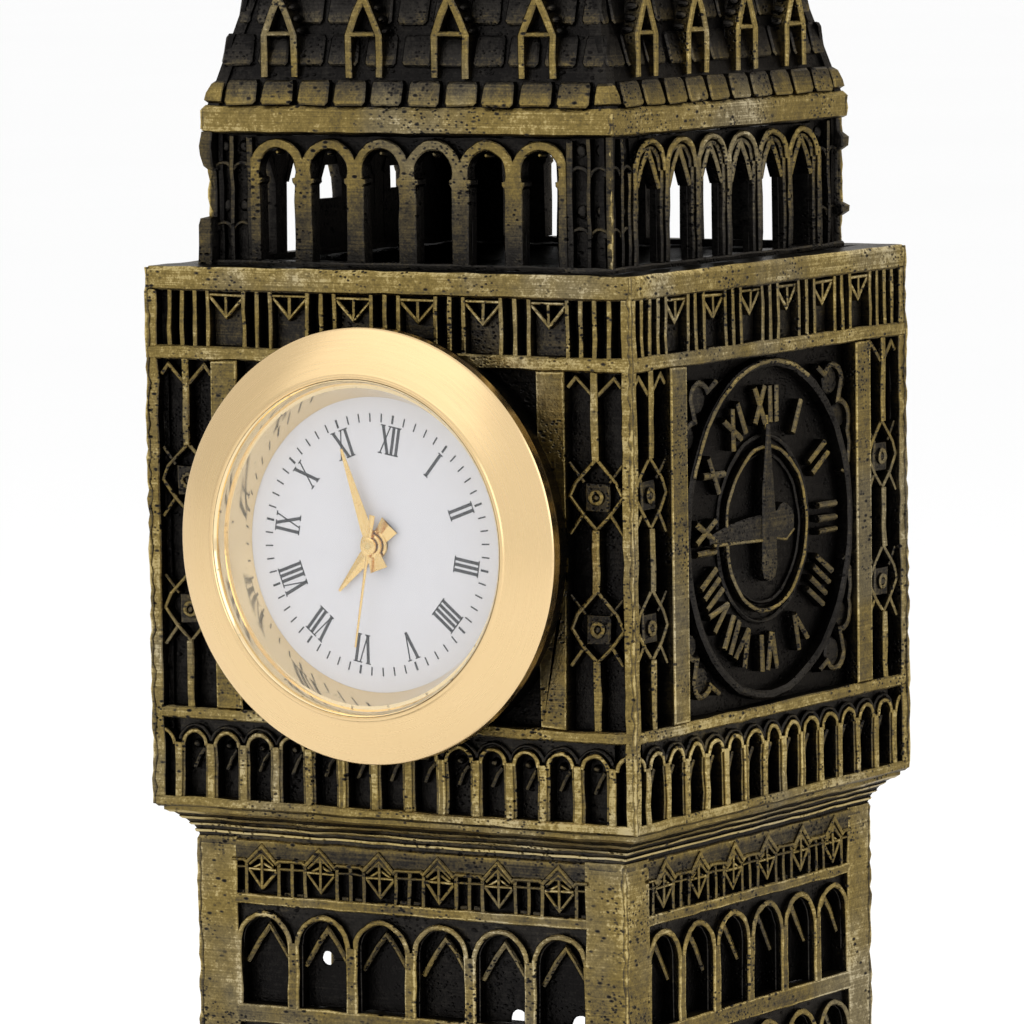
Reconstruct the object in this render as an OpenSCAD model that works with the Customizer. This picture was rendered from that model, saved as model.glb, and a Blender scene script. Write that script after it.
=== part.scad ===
// Souvenir clock tower, cast in brass-plated side panels, with a small quartz clock
// pressed into its front. Z is up, the front faces -Y, and the origin is the centre of
// the underside. All sizes are in millimetres.

/* [Tower] */
// Width of the square plinth at the floor
plinth_w = 62; // [58:1:68]
// Width of the shaft
shaft_w = 41.8; // [41:0.1:43]
// Width of the clock stage
stage_w = 47; // [46.6:0.1:48]
// Width of the belfry
belfry_w = 39.2; // [38.6:0.1:39.6]
// Width of the band under the roof
eave_w = 39.8; // [39.7:0.1:41]
// Width of the roof where the lantern stands on it
roof_top_w = 25.8; // [24:0.2:28]
// Thickness of the cast side panels
wall_t = 3; // [2.4:0.1:3.2]

/* [Heights] */
// Height of the plinth
plinth_top = 18; // [16:1:20]
// Height at which the clock stage starts
stage_z = 114.4; // [114:0.1:115]
// Height of the clock's centre
clock_z = 137.5; // [137:0.1:138]
// Height of the ledge on top of the clock stage
ledge_z = 159.9; // [159.5:0.1:160.5]
// Height at which the roof starts
roof_z = 173.2; // [173:0.1:174]
// Height at which the lantern starts
lantern_z = 197; // [195:1:199]
// Height at which the spire starts
spire_z = 207.5; // [206:0.5:209]
// Height at which the finial starts
finial_z = 238; // [236:1:240]
// Height of the whole model
tower_h = 250; // [248:1:252]

/* [Openings] */
// Number of windows across a shaft or belfry panel
bays = 6; // [5:1:6]
// Number of rows of shaft windows
shaft_rows = 8; // [6:1:8]
// Height from one row of shaft windows to the next
row_pitch = 10.1; // [9.9:0.1:10.1]
// Number of arches in the arcade under the clock
arcade_bays = 14; // [10:1:14]
// Number of dormers across a roof panel
dormers = 4; // [3:1:4]

/* [Insert clock] */
// Diameter of the bezel
bezel_d = 36; // [36:0.1:36.4]
// Diameter of the hole that the clock is pressed into
bore_d = 33.2; // [33.1:0.1:33.4]
// Diameter of the visible dial
dial_view_d = 24.4; // [24:0.1:24.6]
// Clockwise turn of the whole clock in its hole, in degrees
clock_tilt = 9.5; // [0:0.5:15]
// Length of the minute hand
minute_len = 8.35; // [8:0.05:8.6]
// Length of the hour hand
hour_len = 5.2; // [5:0.1:6]
// Length of the seconds hand
seconds_len = 8.5; // [8:0.1:9]

/* [Hidden] */

$fn = 64;
eps = 0.01;

brass = "#8c7a48";
dark_brass = "#4a4230";
gold = "#e2be72";
steel = "#b9bcc0";
cream = "#dedce2";

// Half widths of the tower's storeys.
shaft_r = shaft_w / 2;
stage_r = stage_w / 2;
belfry_r = belfry_w / 2;
eave_r = eave_w / 2;
roof_r = eave_r - 0.6;
roof_top_r = roof_top_w / 2;
roof_slope = (roof_r - roof_top_r) / (lantern_z - roof_z);
reach = 80;

// The stage's bands, measured from its two ends.
frieze_hi = ledge_z - 2;
frieze_lo = frieze_hi - 4.6;
field_hi = frieze_lo - 1.2;
arcade_lo = stage_z + 0.9;
arcade_hi = arcade_lo + 6.5;
field_lo = arcade_hi + 1;
field_r = 14.5;
pilaster_r = 17.1;
post_r = stage_r - 1;
relief = 1.4;

// Depths inside the clock, measured outwards from the front of the stage.
flange_back = 2.3;
dial_front = 1.5;
dial_back = 1.2;
plate_front = 0.3;
plate_back = -1.2;
bridge_front = -3.6;
bridge_back = -4;
case_back = -5.2;
stem_s = -0.45;
case_r = 15.4;
ring_r = 14.1;
plate_r = 12;

// Tooth counts of the train, and how far apart its arbors stand.
rotor_teeth = 6;
fifth_teeth = 36;
fifth_pinion = 12;
fourth_teeth = 60;
fourth_pinion = 8;
third_teeth = 60;
third_pinion = 8;
centre_teeth = 64;
cannon_teeth = 12;
minute_teeth = 36;
minute_pinion = 10;
hour_teeth = 40;
third_d = 4.1;
fifth_d = 4.35;
rotor_d = 2.55;
minute_d = 3.05;
third_dir = 90;
fifth_dir = -30;
minute_dir = 0;
third_xy = third_d * [cos(third_dir), sin(third_dir)];
fifth_xy = fifth_d * [cos(fifth_dir), sin(fifth_dir)];
rotor_xy = (fifth_d + rotor_d) * [cos(fifth_dir), sin(fifth_dir)];
minute_xy = minute_d * [cos(minute_dir), sin(minute_dir)];
battery_xy = [-6.98, -3.25];
battery_r = 3.4;
pillar_xy = [[-7.8, 4.5], [6.3, 5.3], [8.7, -2.1]];
coil_y = -8.6;
arbor_r = 0.15;
pivot_hole_r = 0.2;
post_pin_r = 0.25;

// Nested pipes at the clock's centre, each running in the next.
seconds_arbor_r = 0.25;
cannon_in_r = 0.32;
cannon_out_r = 0.6;
hour_in_r = 0.67;
hour_out_r = 0.95;
dial_hole_r = 1.1;

// Angles of the hands, clockwise from the dial's twelve, at about five to seven.
hour_at = 212;
minute_at = 331;
seconds_at = 180;

// ---- Helpers ----

// Everything in front of the two diagonals, so that four panels meet in mitres.
module front_quarter() {
    linear_extrude(tower_h)
        polygon([[0, 0], [-reach, -reach], [reach, -reach]]);
}

// A panel for one side: its section, given as [distance from axis, height], runs along
// the side and is mitred at both ends. Children are cut out of it.
module side_panel(section) {
    difference() {
        intersection() {
            rotate([90, 0, 90])
                linear_extrude(2 * reach, center = true)
                    polygon([for (p = section) [-p[0], p[1]]]);
            front_quarter();
        }
        children();
    }
}

// Draws 2D children standing up on the front, from one distance from the axis to another.
module on_front(near, far) {
    translate([0, -near, 0])
        rotate([90, 0, 0])
            linear_extrude(far - near)
                children();
}

// A round-headed window outline with a head of flat facets.
module arch(w, h) {
    head = 8;
    polygon(concat(
        [[-w / 2, 0], [w / 2, 0]],
        [for (i = [0:head])
            [w / 2 * cos(180 * i / head), h - w / 2 + w / 2 * sin(180 * i / head)]]));
}

// Evenly spaced copies along X.
module row_x(count, pitch) {
    for (i = [0:count - 1])
        translate([(i - (count - 1) / 2) * pitch, 0])
            children();
}

// Places children in the clock: X and Y lie in its dial and +Z points out at the viewer.
module in_clock() {
    translate([0, -stage_r, clock_z])
        rotate([90, 0, 0])
            rotate([0, 0, -clock_tilt])
                children();
}

// A flat ring between two depths.
module ring(r_out, r_in, low, high) {
    translate([0, 0, low])
        difference() {
            cylinder(r = r_out, h = high - low);
            translate([0, 0, -eps])
                cylinder(r = r_in, h = high - low + 2 * eps);
        }
}

// A disc between two depths.
module disc(r, low, high) {
    translate([0, 0, low])
        cylinder(r = r, h = high - low);
}

// The module of two gears that mesh over a given centre distance, with play.
function mesh_module(distance, a, b) = distance / ((a + b) / 2 + 0.3);

// A spur gear between two depths. One tooth points at the angle toward.
module gear(teeth, size, low, high, toward) {
    step = 360 / teeth;
    root = size * (teeth / 2 - 0.95);
    tip = size * (teeth / 2 + 0.7);
    points = [for (i = [0:teeth - 1])
        for (c = [[root, -0.25], [tip, -0.11], [tip, 0.11], [root, 0.25]])
            let (a = toward + (i + c[1]) * step)
                c[0] * [cos(a), sin(a)]];
    translate([0, 0, low])
        linear_extrude(high - low)
            polygon(points);
}

// The angle that puts a gap, not a tooth, where the other gear's tooth points.
function gap_at(angle, teeth) = angle + 180 + 180 / teeth;

// ---- Base ----

module felt_pad() {
    color("#20251f")
        translate([-plinth_w / 2 + 2, -plinth_w / 2 + 2, 0])
            cube([plinth_w - 4, plinth_w - 4, 1]);
}

plate_side = plinth_w - 6;
screw_at = plinth_w / 2 - 8;

module at_screws() {
    for (x = [-1, 1], y = [-1, 1])
        translate([x * screw_at, y * screw_at, 1])
            children();
}

module base_plate() {
    color(steel)
        difference() {
            translate([-plate_side / 2, -plate_side / 2, 1])
                cube([plate_side, plate_side, 1.2]);
            at_screws()
                translate([0, 0, -eps])
                    cylinder(r1 = 2.45, r2 = 1.45, h = 1.2 + 2 * eps);
        }
}

module base_screws() {
    color(steel)
        at_screws() {
            cylinder(r1 = 2.35, r2 = 1.35, h = 1.2);
            cylinder(r = 1.1, h = 8);
        }
}

module plinth() {
    step_z = [1, 6, 10.5, 14.5, plinth_top];
    step_r = [plinth_w / 2, plinth_w / 2 - 2.6, plinth_w / 2 - 5, plinth_w / 2 - 7.4];
    color(brass)
        difference() {
            for (i = [0:3])
                translate([-step_r[i], -step_r[i], step_z[i]])
                    cube([2 * step_r[i], 2 * step_r[i], step_z[i + 1] - step_z[i]]);
            translate([-plate_side / 2 - 0.2, -plate_side / 2 - 0.2, 1 - eps])
                cube([plate_side + 0.4, plate_side + 0.4, 1.2 + eps]);
            translate([-shaft_r + 1, -shaft_r + 1, 2.2 - eps])
                cube([shaft_w - 2, shaft_w - 2, plinth_top - 5]);
            at_screws()
                cylinder(r = 1.15, h = 8.5);
        }
}

// ---- Shaft ----

window_w = 4.4;
bay_pitch = 5.8;
top_row_z = stage_z - 17;

module shaft_panel() {
    color(brass)
        side_panel([
            [shaft_r - wall_t, plinth_top], [shaft_r + 1.4, plinth_top],
            [shaft_r + 1.4, plinth_top + 2], [shaft_r, plinth_top + 4],
            [shaft_r, stage_z - 3.6], [shaft_r + 0.5, stage_z - 2.6],
            [shaft_r + 0.5, stage_z - 1.9], [shaft_r + 1.2, stage_z - 1.3],
            [shaft_r + 1.2, stage_z - 0.8], [stage_r - 0.6, stage_z - 0.3],
            [stage_r - 0.6, stage_z], [stage_r - wall_t, stage_z],
            [shaft_r - wall_t, stage_z - 4]]) {
            for (i = [0:shaft_rows - 1])
                on_front(shaft_r - wall_t - 1, shaft_r + 1)
                    translate([0, top_row_z - i * row_pitch])
                        row_x(bays, bay_pitch)
                            arch(window_w, 8.2);
            on_front(shaft_r - 1, shaft_r + 1)
                translate([0, stage_z - 7.2])
                    row_x(bays, bay_pitch)
                        translate([-bay_pitch / 2 + 0.3, 0])
                            square([bay_pitch - 0.6, 2]);
        }
}

// ---- Clock stage ----

// The sunk panels that all four sides of the stage share.
module stage_pockets() {
    on_front(stage_r - relief, stage_r + 1) {
        translate([-post_r, frieze_lo])
            square([2 * post_r, frieze_hi - frieze_lo]);
        for (side = [-1, 1])
            translate([side * (post_r + pilaster_r) / 2 - (post_r - pilaster_r) / 2, field_lo])
                square([post_r - pilaster_r, field_hi - field_lo]);
        translate([0, arcade_lo])
            row_x(arcade_bays, 3.25)
                arch(2.4, arcade_hi - arcade_lo - 0.4);
    }
}

stage_section = [
    [stage_r - wall_t, stage_z], [stage_r, stage_z],
    [stage_r, ledge_z], [stage_r - wall_t, ledge_z]];

// The front panel has a bored seat and a low collar for the insert clock.
module stage_front_panel() {
    collar_h = flange_back - 0.1;
    color(brass)
        difference() {
            union() {
                side_panel(stage_section)
                    stage_pockets();
                translate([0, -stage_r + wall_t, clock_z])
                    rotate([90, 0, 0])
                        cylinder(d = bore_d + 1.4, h = wall_t + collar_h);
            }
            translate([0, -stage_r + wall_t + 1, clock_z])
                rotate([90, 0, 0])
                    cylinder(d = bore_d, h = wall_t + collar_h + 2);
        }
}

// The other three carry a cast dial: a rim, a chapter ring and two fixed hands.
module stage_dial_panel() {
    floor_y = stage_r - relief;
    color(brass) {
        side_panel(stage_section) {
            stage_pockets();
            on_front(floor_y, stage_r + 1)
                translate([-field_r, field_lo])
                    square([2 * field_r, field_hi - field_lo]);
        }
        translate([0, -floor_y + eps, clock_z])
            rotate([90, 0, 0]) {
                ring(14.3, 13.7, 0, 1.2);
                ring(7.1, 6.7, 0, 0.8);
                translate([-1.2, -4.2, 0])
                    cube([2.4, 12.6, 0.9]);
                translate([-9.4, -1.2, 0])
                    cube([13.6, 2.4, 0.9]);
            }
    }
}

// ---- Belfry ----

module belfry_floor() {
    half = stage_r - wall_t - 0.1;
    color(dark_brass)
        translate([-half, -half, ledge_z - 2])
            cube([2 * half, 2 * half, 2]);
}

module belfry_panel() {
    band_z = roof_z - 2.3;
    inner = belfry_r - 2.4;
    color(brass)
        side_panel([
            [inner, ledge_z], [belfry_r, ledge_z], [belfry_r, band_z],
            [eave_r, band_z], [eave_r, roof_z], [inner, roof_z]]) {
            on_front(inner - 1, belfry_r + 1)
                translate([0, ledge_z + 0.6])
                    row_x(bays, 5.15)
                        arch(3.5, 9.3);
            on_front(belfry_r - 0.8, belfry_r + 1)
                for (side = [-1, 1], tier = [0, 1])
                    translate([side * 17, ledge_z + 0.6 + tier * 3.4])
                        row_x(2, 2.1)
                            arch(1.7, tier == 0 ? 2.8 : 5.6);
        }
}

// ---- Roof ----

dormer_w = 3.7;
dormer_h = 6.6;
dormer_z = roof_z + 2.5;
dormer_pitch = 8.5;
dormer_front = roof_r - 0.35;

// The outline of a dormer, or of the opening in it.
module gable(w, h, shoulder) {
    polygon([[-w / 2, 0], [w / 2, 0], [w / 2, shoulder], [0, h], [-w / 2, shoulder]]);
}

module roof_panel() {
    t = 2.2;
    small_z = lantern_z - 10.5;
    small_front = roof_r - (small_z - roof_z) * roof_slope + 0.3;
    color(dark_brass)
        difference() {
            union() {
                side_panel([
                    [roof_r - t, roof_z], [roof_r, roof_z],
                    [roof_top_r, lantern_z], [roof_top_r - t, lantern_z]]);
                on_front(dormer_front - 2.6, dormer_front)
                    translate([0, dormer_z])
                        row_x(dormers, dormer_pitch)
                            gable(dormer_w, dormer_h, 3.4);
                on_front(small_front - 2.2, small_front)
                    translate([0, small_z])
                        row_x(dormers - 1, dormer_pitch * 0.72)
                            gable(2.6, 4.8, 2.4);
            }
            on_front(dormer_front - 1, dormer_front + 1)
                translate([0, dormer_z + 0.02])
                    row_x(dormers, dormer_pitch)
                        gable(dormer_w - 1.3, dormer_h - 1.1, 3.1);
            on_front(small_front - 0.8, small_front + 1)
                translate([0, small_z + 0.02])
                    row_x(dormers - 1, dormer_pitch * 0.72)
                        gable(1.6, 3.9, 2.1);
        }
}

// ---- Lantern, spire and finial ----

lantern_r = 10.4;

module square_slab(half, low, high) {
    translate([-half, -half, low])
        cube([2 * half, 2 * half, high - low]);
}

module lantern() {
    inside = lantern_r - 1.6;
    color(brass)
        difference() {
            union() {
                square_slab(roof_top_r + 0.5, lantern_z, lantern_z + 1.2);
                square_slab(lantern_r, lantern_z + 1.2, spire_z - 1.4);
                square_slab(lantern_r + 1, spire_z - 1.4, spire_z);
            }
            square_slab(inside, lantern_z + 1.2, spire_z - 1.4);
            for (turn = [0, 90])
                rotate([0, 0, turn])
                    on_front(-lantern_r - 1, lantern_r + 1)
                        translate([0, lantern_z + 1.6])
                            row_x(5, 3.7)
                                arch(2.6, 6.4);
        }
}

// A square pyramid frustum.
module taper(half_low, half_high, low, high) {
    translate([0, 0, low])
        rotate([0, 0, 45])
            cylinder(r1 = half_low * sqrt(2), r2 = half_high * sqrt(2), h = high - low, $fn = 4);
}

module spire() {
    color(dark_brass) {
        taper(lantern_r + 0.6, lantern_r - 1.4, spire_z, spire_z + 4);
        taper(lantern_r - 1.4, 1.3, spire_z + 4, finial_z);
        for (side = [0:3])
            rotate([0, 0, 90 * side])
                on_front(4, lantern_r - 0.6)
                    translate([0, spire_z + 1])
                        gable(4.4, 7, 3.4);
    }
}

module finial() {
    h = tower_h - finial_z;
    color(brass)
        translate([0, 0, finial_z])
            rotate_extrude()
                polygon([
                    [0, 0], [1.8, 0], [1.8, 0.6], [0.9, 1.1], [0.9, 1.9], [1.5, 2.6],
                    [1.5, 3.4], [0.8, 4.1], [0.6, 6.2], [1, 6.7], [1, 7.2], [0.5, 7.7],
                    [0.25, h], [0, h]]);
}

// ---- Insert clock: outer parts ----

bezel_lip_r = 13.95;
bezel_lip_s = 5;
view_r = dial_view_d / 2;
seat_s = 3.75;
// Half width of the conical wall between the dial and the lip, at a given depth.
function cone_r(s) = view_r + (bezel_lip_r - 0.2 - view_r) * (s - dial_front) / (bezel_lip_s - dial_front);

module bezel() {
    skirt_in = case_r + 0.05;
    color(gold)
        in_clock()
            rotate_extrude($fn = 128)
                polygon([
                    [bezel_d / 2, flange_back], [bezel_d / 2, 3.15], [bezel_d / 2 - 0.3, 3.4],
                    [16.4, 4.1], [15.1, 4.65], [bezel_lip_r + 0.25, bezel_lip_s],
                    [bezel_lip_r - 0.2, bezel_lip_s],
                    [cone_r(seat_s) + 0.12, seat_s], [cone_r(seat_s) - 0.2, seat_s],
                    [view_r, dial_front + 0.02], [13.3, dial_front + 0.02],
                    [case_r - 1.3, dial_front + 0.02], [case_r - 1.3, flange_back - 0.05],
                    [skirt_in, flange_back - 0.05], [skirt_in, 0.95],
                    [16.2, 0.95], [16.2, flange_back]]);
}

module crystal() {
    low = seat_s + 0.03;
    high = 4.7;
    color("#dfe8ee", 0.3)
        in_clock()
            translate([0, 0, low])
                cylinder(r1 = cone_r(low) + 0.05, r2 = cone_r(high), h = high - low);
}

module dial() {
    color(cream)
        in_clock()
            ring(13.3, dial_hole_r, dial_back, dial_front);
}

// The plastic cup that holds the movement, with a window for the crown in its side.
module clock_case() {
    color("#1d1d20")
        in_clock()
            difference() {
                ring(case_r, case_r - 1.2, case_back, flange_back - 0.1);
                translate([case_r - 3, -1.7, -2])
                    cube([5, 3.4, 3]);
            }
}

module grip_ring() {
    color("#151515")
        in_clock()
            rotate_extrude($fn = 96)
                polygon([
                    [case_r + 0.03, -4.6], [16.2, -4.6], [16.5, -4.2], [16.2, -3.8],
                    [16.5, -3.4], [16.2, -3], [16.5, -2.6], [16.2, -2.2], [case_r + 0.03, -2.2]]);
}

module back_cover() {
    color("#2a2a2d")
        in_clock()
            difference() {
                union() {
                    disc(case_r - 1.25, case_back, case_back + 0.8);
                    ring(case_r - 1.25, case_r - 2.2, case_back + 0.8, case_back + 1.6);
                }
                translate([0, -case_r + 1, case_back - eps])
                    cylinder(r = 1.2, h = 0.4);
            }
}

// ---- Insert clock: movement ----

// A hole along the stem, from inside the plate to beyond the ring.
module stem_hole(r) {
    translate([5.9, 0, stem_s])
        rotate([0, 90, 0])
            cylinder(r = r, h = 12);
}

module movement_ring() {
    color("#e8e8e4")
        in_clock()
            difference() {
                ring(ring_r, plate_r + 0.05, plate_back, dial_back - 0.02);
                stem_hole(0.6);
            }
}

module main_plate() {
    color("#c9b98a")
        in_clock()
            difference() {
                union() {
                    disc(plate_r, plate_back, plate_front);
                    translate(minute_xy)
                        disc(post_pin_r, 0, 1.05);
                    for (i = [0:2])
                        translate(pillar_xy[i])
                            disc(0.9, bridge_front + (i == 0 ? 0.15 : 0), plate_back + 0.5);
                }
                disc(hour_in_r, plate_back - 1, plate_front + 1);
                for (p = [third_xy, fifth_xy, rotor_xy])
                    translate(p)
                        disc(pivot_hole_r, plate_back - 1, plate_back + 0.5);
                for (p = pillar_xy)
                    translate(p)
                        disc(0.4, bridge_front - 1, bridge_front + 1.6);
                stem_hole(0.42);
            }
}

module train_bridge() {
    color(steel)
        in_clock()
            difference() {
                disc(10, bridge_back, bridge_front);
                translate(battery_xy)
                    disc(battery_r + 0.5, bridge_back - 1, bridge_front + 1);
                translate([-12, coil_y - 4, bridge_back - 1])
                    cube([24, 5.6, 3]);
                for (p = [[0, 0], third_xy, fifth_xy, rotor_xy])
                    translate(p)
                        disc(p == [0, 0] ? 0.3 : pivot_hole_r, bridge_back - 1, bridge_front + 1);
                for (p = pillar_xy)
                    translate(p)
                        disc(0.42, bridge_back - 1, bridge_front + 1);
            }
}

module movement_screws() {
    color(steel)
        in_clock()
            for (p = pillar_xy)
                translate(p)
                    difference() {
                        union() {
                            disc(0.8, bridge_back - 0.35, bridge_back);
                            disc(0.35, bridge_back, bridge_front + 1.4);
                        }
                        translate([-1, -0.12, bridge_back - 0.36])
                            cube([2, 0.24, 0.16]);
                    }
}

module battery() {
    color("#cfd2d4")
        in_clock()
            translate(battery_xy) {
                disc(battery_r, -3.45, -1.7);
                disc(battery_r - 0.6, -1.7, -1.3);
            }
}

module battery_strap() {
    color(steel)
        in_clock()
            difference() {
                translate([0, 0, -3.6])
                    linear_extrude(0.12)
                        polygon([
                            pillar_xy[0] + [1, 1], pillar_xy[0] + [-1, 1],
                            battery_xy + [-1.1, -2.4], battery_xy + [1.1, -2.4]]);
                translate(pillar_xy[0])
                    disc(0.42, -4, -3);
            }
}

// A rod along the coil, between two distances across the movement.
module coil_rod(r, low, high) {
    translate([low, coil_y, -2.35])
        rotate([0, 90, 0])
            cylinder(r = r, h = high - low);
}

module coil() {
    color("#a4501e")
        in_clock()
            difference() {
                coil_rod(1.05, -2.8, 5.4);
                coil_rod(0.5, -4, 7);
            }
}

// The soft iron plate round the rotor, with the core that passes through the coil.
module stator() {
    color("#8f8f94")
        in_clock()
            difference() {
                union() {
                    translate([0, 0, -2.05])
                        linear_extrude(0.35) {
                            translate(rotor_xy)
                                circle(r = 1.7);
                            polygon([[5.9, -4.5], [7.2, -3.6], [7.4, -9.3], [5.7, -9.3]]);
                            polygon([
                                [5.2, -4.6], [4.7, -3.8], [-4.4, -6.6],
                                [-4.4, -9.3], [-3.2, -9.3], [-3.2, -7.4]]);
                        }
                    coil_rod(0.45, -3.8, 6.5);
                }
                translate(rotor_xy)
                    disc(0.95, -3, -1);
            }
}

module circuit_board() {
    color("#1f5b36")
        in_clock()
            difference() {
                translate([0, 0, -1.6])
                    linear_extrude(0.3)
                        polygon([[-4.7, 0.9], [-10.6, 0.9], [-9.4, 6.4], [-6.6, 8.8], [-4.7, 8]]);
                translate(pillar_xy[0])
                    disc(1, -2, -1);
            }
}

module quartz_can() {
    color("#d6d8da")
        in_clock()
            translate([-8.6, 6.9, -2.4])
                rotate([0, 90, 0])
                    cylinder(r = 0.75, h = 3.4);
}

// ---- Insert clock: wheels ----

module arbor(low, high) {
    disc(arbor_r, low, high);
}

module rotor() {
    size = mesh_module(rotor_d, rotor_teeth, fifth_teeth);
    color("#55565a")
        in_clock()
            translate(rotor_xy) {
                gear(rotor_teeth, size, -3.2, -2.85, fifth_dir + 180);
                disc(0.75, -2.35, -1.45);
                arbor(-3.9, -0.75);
            }
}

module fifth_wheel() {
    color(gold)
        in_clock()
            translate(fifth_xy) {
                gear(fifth_teeth, mesh_module(rotor_d, rotor_teeth, fifth_teeth),
                    -3.1, -2.9, gap_at(fifth_dir + 180, fifth_teeth));
                gear(fifth_pinion, mesh_module(fifth_d, fifth_pinion, fourth_teeth),
                    -2.75, -2.3, fifth_dir + 180);
                arbor(-3.9, -0.75);
            }
}

// Carries the seconds hand, and turns once a minute.
module fourth_wheel() {
    color(gold)
        in_clock() {
            gear(fourth_teeth, mesh_module(fifth_d, fifth_pinion, fourth_teeth),
                -2.6, -2.4, gap_at(fifth_dir + 180, fourth_teeth));
            gear(fourth_pinion, mesh_module(third_d, fourth_pinion, third_teeth),
                -2.2, -1.8, third_dir);
            disc(seconds_arbor_r, -3.9, 2.95);
        }
}

module third_wheel() {
    color(gold)
        in_clock()
            translate(third_xy) {
                gear(third_teeth, mesh_module(third_d, fourth_pinion, third_teeth),
                    -2.1, -1.9, gap_at(third_dir, third_teeth));
                gear(third_pinion, mesh_module(third_d, third_pinion, centre_teeth),
                    -1.68, -1.32, third_dir + 180);
                arbor(-3.9, -0.75);
            }
}

// Slips on the cannon pinion's pipe, so that the hands can be set.
module centre_wheel() {
    color(gold)
        in_clock()
            difference() {
                gear(centre_teeth, mesh_module(third_d, third_pinion, centre_teeth),
                    -1.6, -1.4, gap_at(third_dir + 180, centre_teeth));
                disc(hour_in_r, -2, -1);
            }
}

module cannon_pinion() {
    color(gold)
        in_clock()
            difference() {
                union() {
                    gear(cannon_teeth, mesh_module(minute_d, cannon_teeth, minute_teeth),
                        0.38, 0.62, minute_dir);
                    disc(cannon_out_r, -1.65, 2.5);
                }
                disc(cannon_in_r, -3, 4);
            }
}

module minute_wheel() {
    color(gold)
        in_clock()
            translate(minute_xy)
                difference() {
                    union() {
                        gear(minute_teeth, mesh_module(minute_d, cannon_teeth, minute_teeth),
                            0.4, 0.6, gap_at(minute_dir, minute_teeth));
                        gear(minute_pinion, mesh_module(minute_d, minute_pinion, hour_teeth),
                            0.6, 1, minute_dir + 180);
                    }
                    disc(post_pin_r + 0.07, 0, 2);
                }
}

module hour_wheel() {
    color(gold)
        in_clock()
            difference() {
                union() {
                    gear(hour_teeth, mesh_module(minute_d, minute_pinion, hour_teeth),
                        0.75, 0.95, gap_at(minute_dir + 180, hour_teeth));
                    disc(hour_out_r, 0.75, 2.05);
                }
                disc(hour_in_r, 0, 3);
            }
}

module setting_stem() {
    color(steel)
        in_clock()
            translate([6.3, 0, stem_s])
                rotate([0, 90, 0])
                    cylinder(r = 0.35, h = 8.9);
}

module crown() {
    color(gold)
        in_clock()
            translate([14.3, 0, stem_s])
                rotate([0, 90, 0])
                    difference() {
                        linear_extrude(1.6)
                            polygon([for (i = [0:47])
                                (i % 2 == 0 ? 1.2 : 1.08) * [cos(7.5 * i), sin(7.5 * i)]]);
                        translate([0, 0, -eps])
                            cylinder(r = 0.38, h = 1);
                    }
}

// ---- Hands ----

// Lays a hand along its angle, clockwise from twelve.
module hand_at(angle, low, high) {
    in_clock()
        rotate([0, 0, -angle])
            translate([0, 0, low])
                linear_extrude(high - low)
                    children();
}

// A pointed hand whose broad end is notched like a swallow's tail.
module swallow_hand(length, w) {
    polygon([
        [-w / 2, 0.9], [-w / 2 - 0.45, -1.2], [0, -0.55], [w / 2 + 0.45, -1.2],
        [w / 2, 0.9], [0.1, length], [-0.1, length]]);
}

module hour_hand() {
    color(gold)
        difference() {
            hand_at(hour_at, 1.9, 2.05)
                union() {
                    swallow_hand(hour_len, 1.1);
                    circle(r = 1.3);
                }
            in_clock()
                disc(hour_out_r + 0.01, 1, 3);
        }
}

module minute_hand() {
    color(gold)
        difference() {
            hand_at(minute_at, 2.35, 2.5)
                union() {
                    swallow_hand(minute_len, 1);
                    circle(r = 1);
                }
            in_clock()
                disc(cannon_out_r + 0.01, 1, 3);
        }
}

module seconds_hand() {
    color(gold)
        difference() {
            hand_at(seconds_at, 2.8, 2.93)
                union() {
                    polygon([
                        [-0.12, 0], [-0.2, -2.6], [0.2, -2.6], [0.12, 0],
                        [0.07, seconds_len], [-0.07, seconds_len]]);
                    circle(r = 0.75);
                }
            in_clock()
                disc(seconds_arbor_r + 0.01, 1, 4);
        }
}

// ---- Output ----

felt_pad();
base_plate();
base_screws();
plinth();
shaft_panel();  // shaft_front_panel
rotate([0, 0, 90]) shaft_panel();  // shaft_right_panel
rotate([0, 0, 180]) shaft_panel();  // shaft_back_panel
rotate([0, 0, 270]) shaft_panel();  // shaft_left_panel
stage_front_panel();
rotate([0, 0, 90]) stage_dial_panel();  // stage_right_panel
rotate([0, 0, 180]) stage_dial_panel();  // stage_back_panel
rotate([0, 0, 270]) stage_dial_panel();  // stage_left_panel
belfry_floor();
belfry_panel();  // belfry_front_panel
rotate([0, 0, 90]) belfry_panel();  // belfry_right_panel
rotate([0, 0, 180]) belfry_panel();  // belfry_back_panel
rotate([0, 0, 270]) belfry_panel();  // belfry_left_panel
roof_panel();  // roof_front_panel
rotate([0, 0, 90]) roof_panel();  // roof_right_panel
rotate([0, 0, 180]) roof_panel();  // roof_back_panel
rotate([0, 0, 270]) roof_panel();  // roof_left_panel
lantern();
spire();
finial();
bezel();
crystal();
dial();
clock_case();
grip_ring();
back_cover();
movement_ring();
main_plate();
train_bridge();
movement_screws();
battery();
battery_strap();
coil();
stator();
circuit_board();
quartz_can();
rotor();
fifth_wheel();
fourth_wheel();
third_wheel();
centre_wheel();
cannon_pinion();
minute_wheel();
hour_wheel();
setting_stem();
crown();
hour_hand();
minute_hand();
seconds_hand();
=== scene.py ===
"""Looks of a souvenir clock tower: cast brass-plated panels round a pressed-in insert clock.

Shapes are written in millimetres. A side of the tower is drawn in its own plane: u runs
along the side to the right, w is the distance from the tower's axis, and z is the height
above a level 0.5 mm over the clock's centre, where the sides' drawings have their zero.
"""

import math
import random

import bmesh
import bpy
from mathutils import Matrix, Vector, noise


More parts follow.
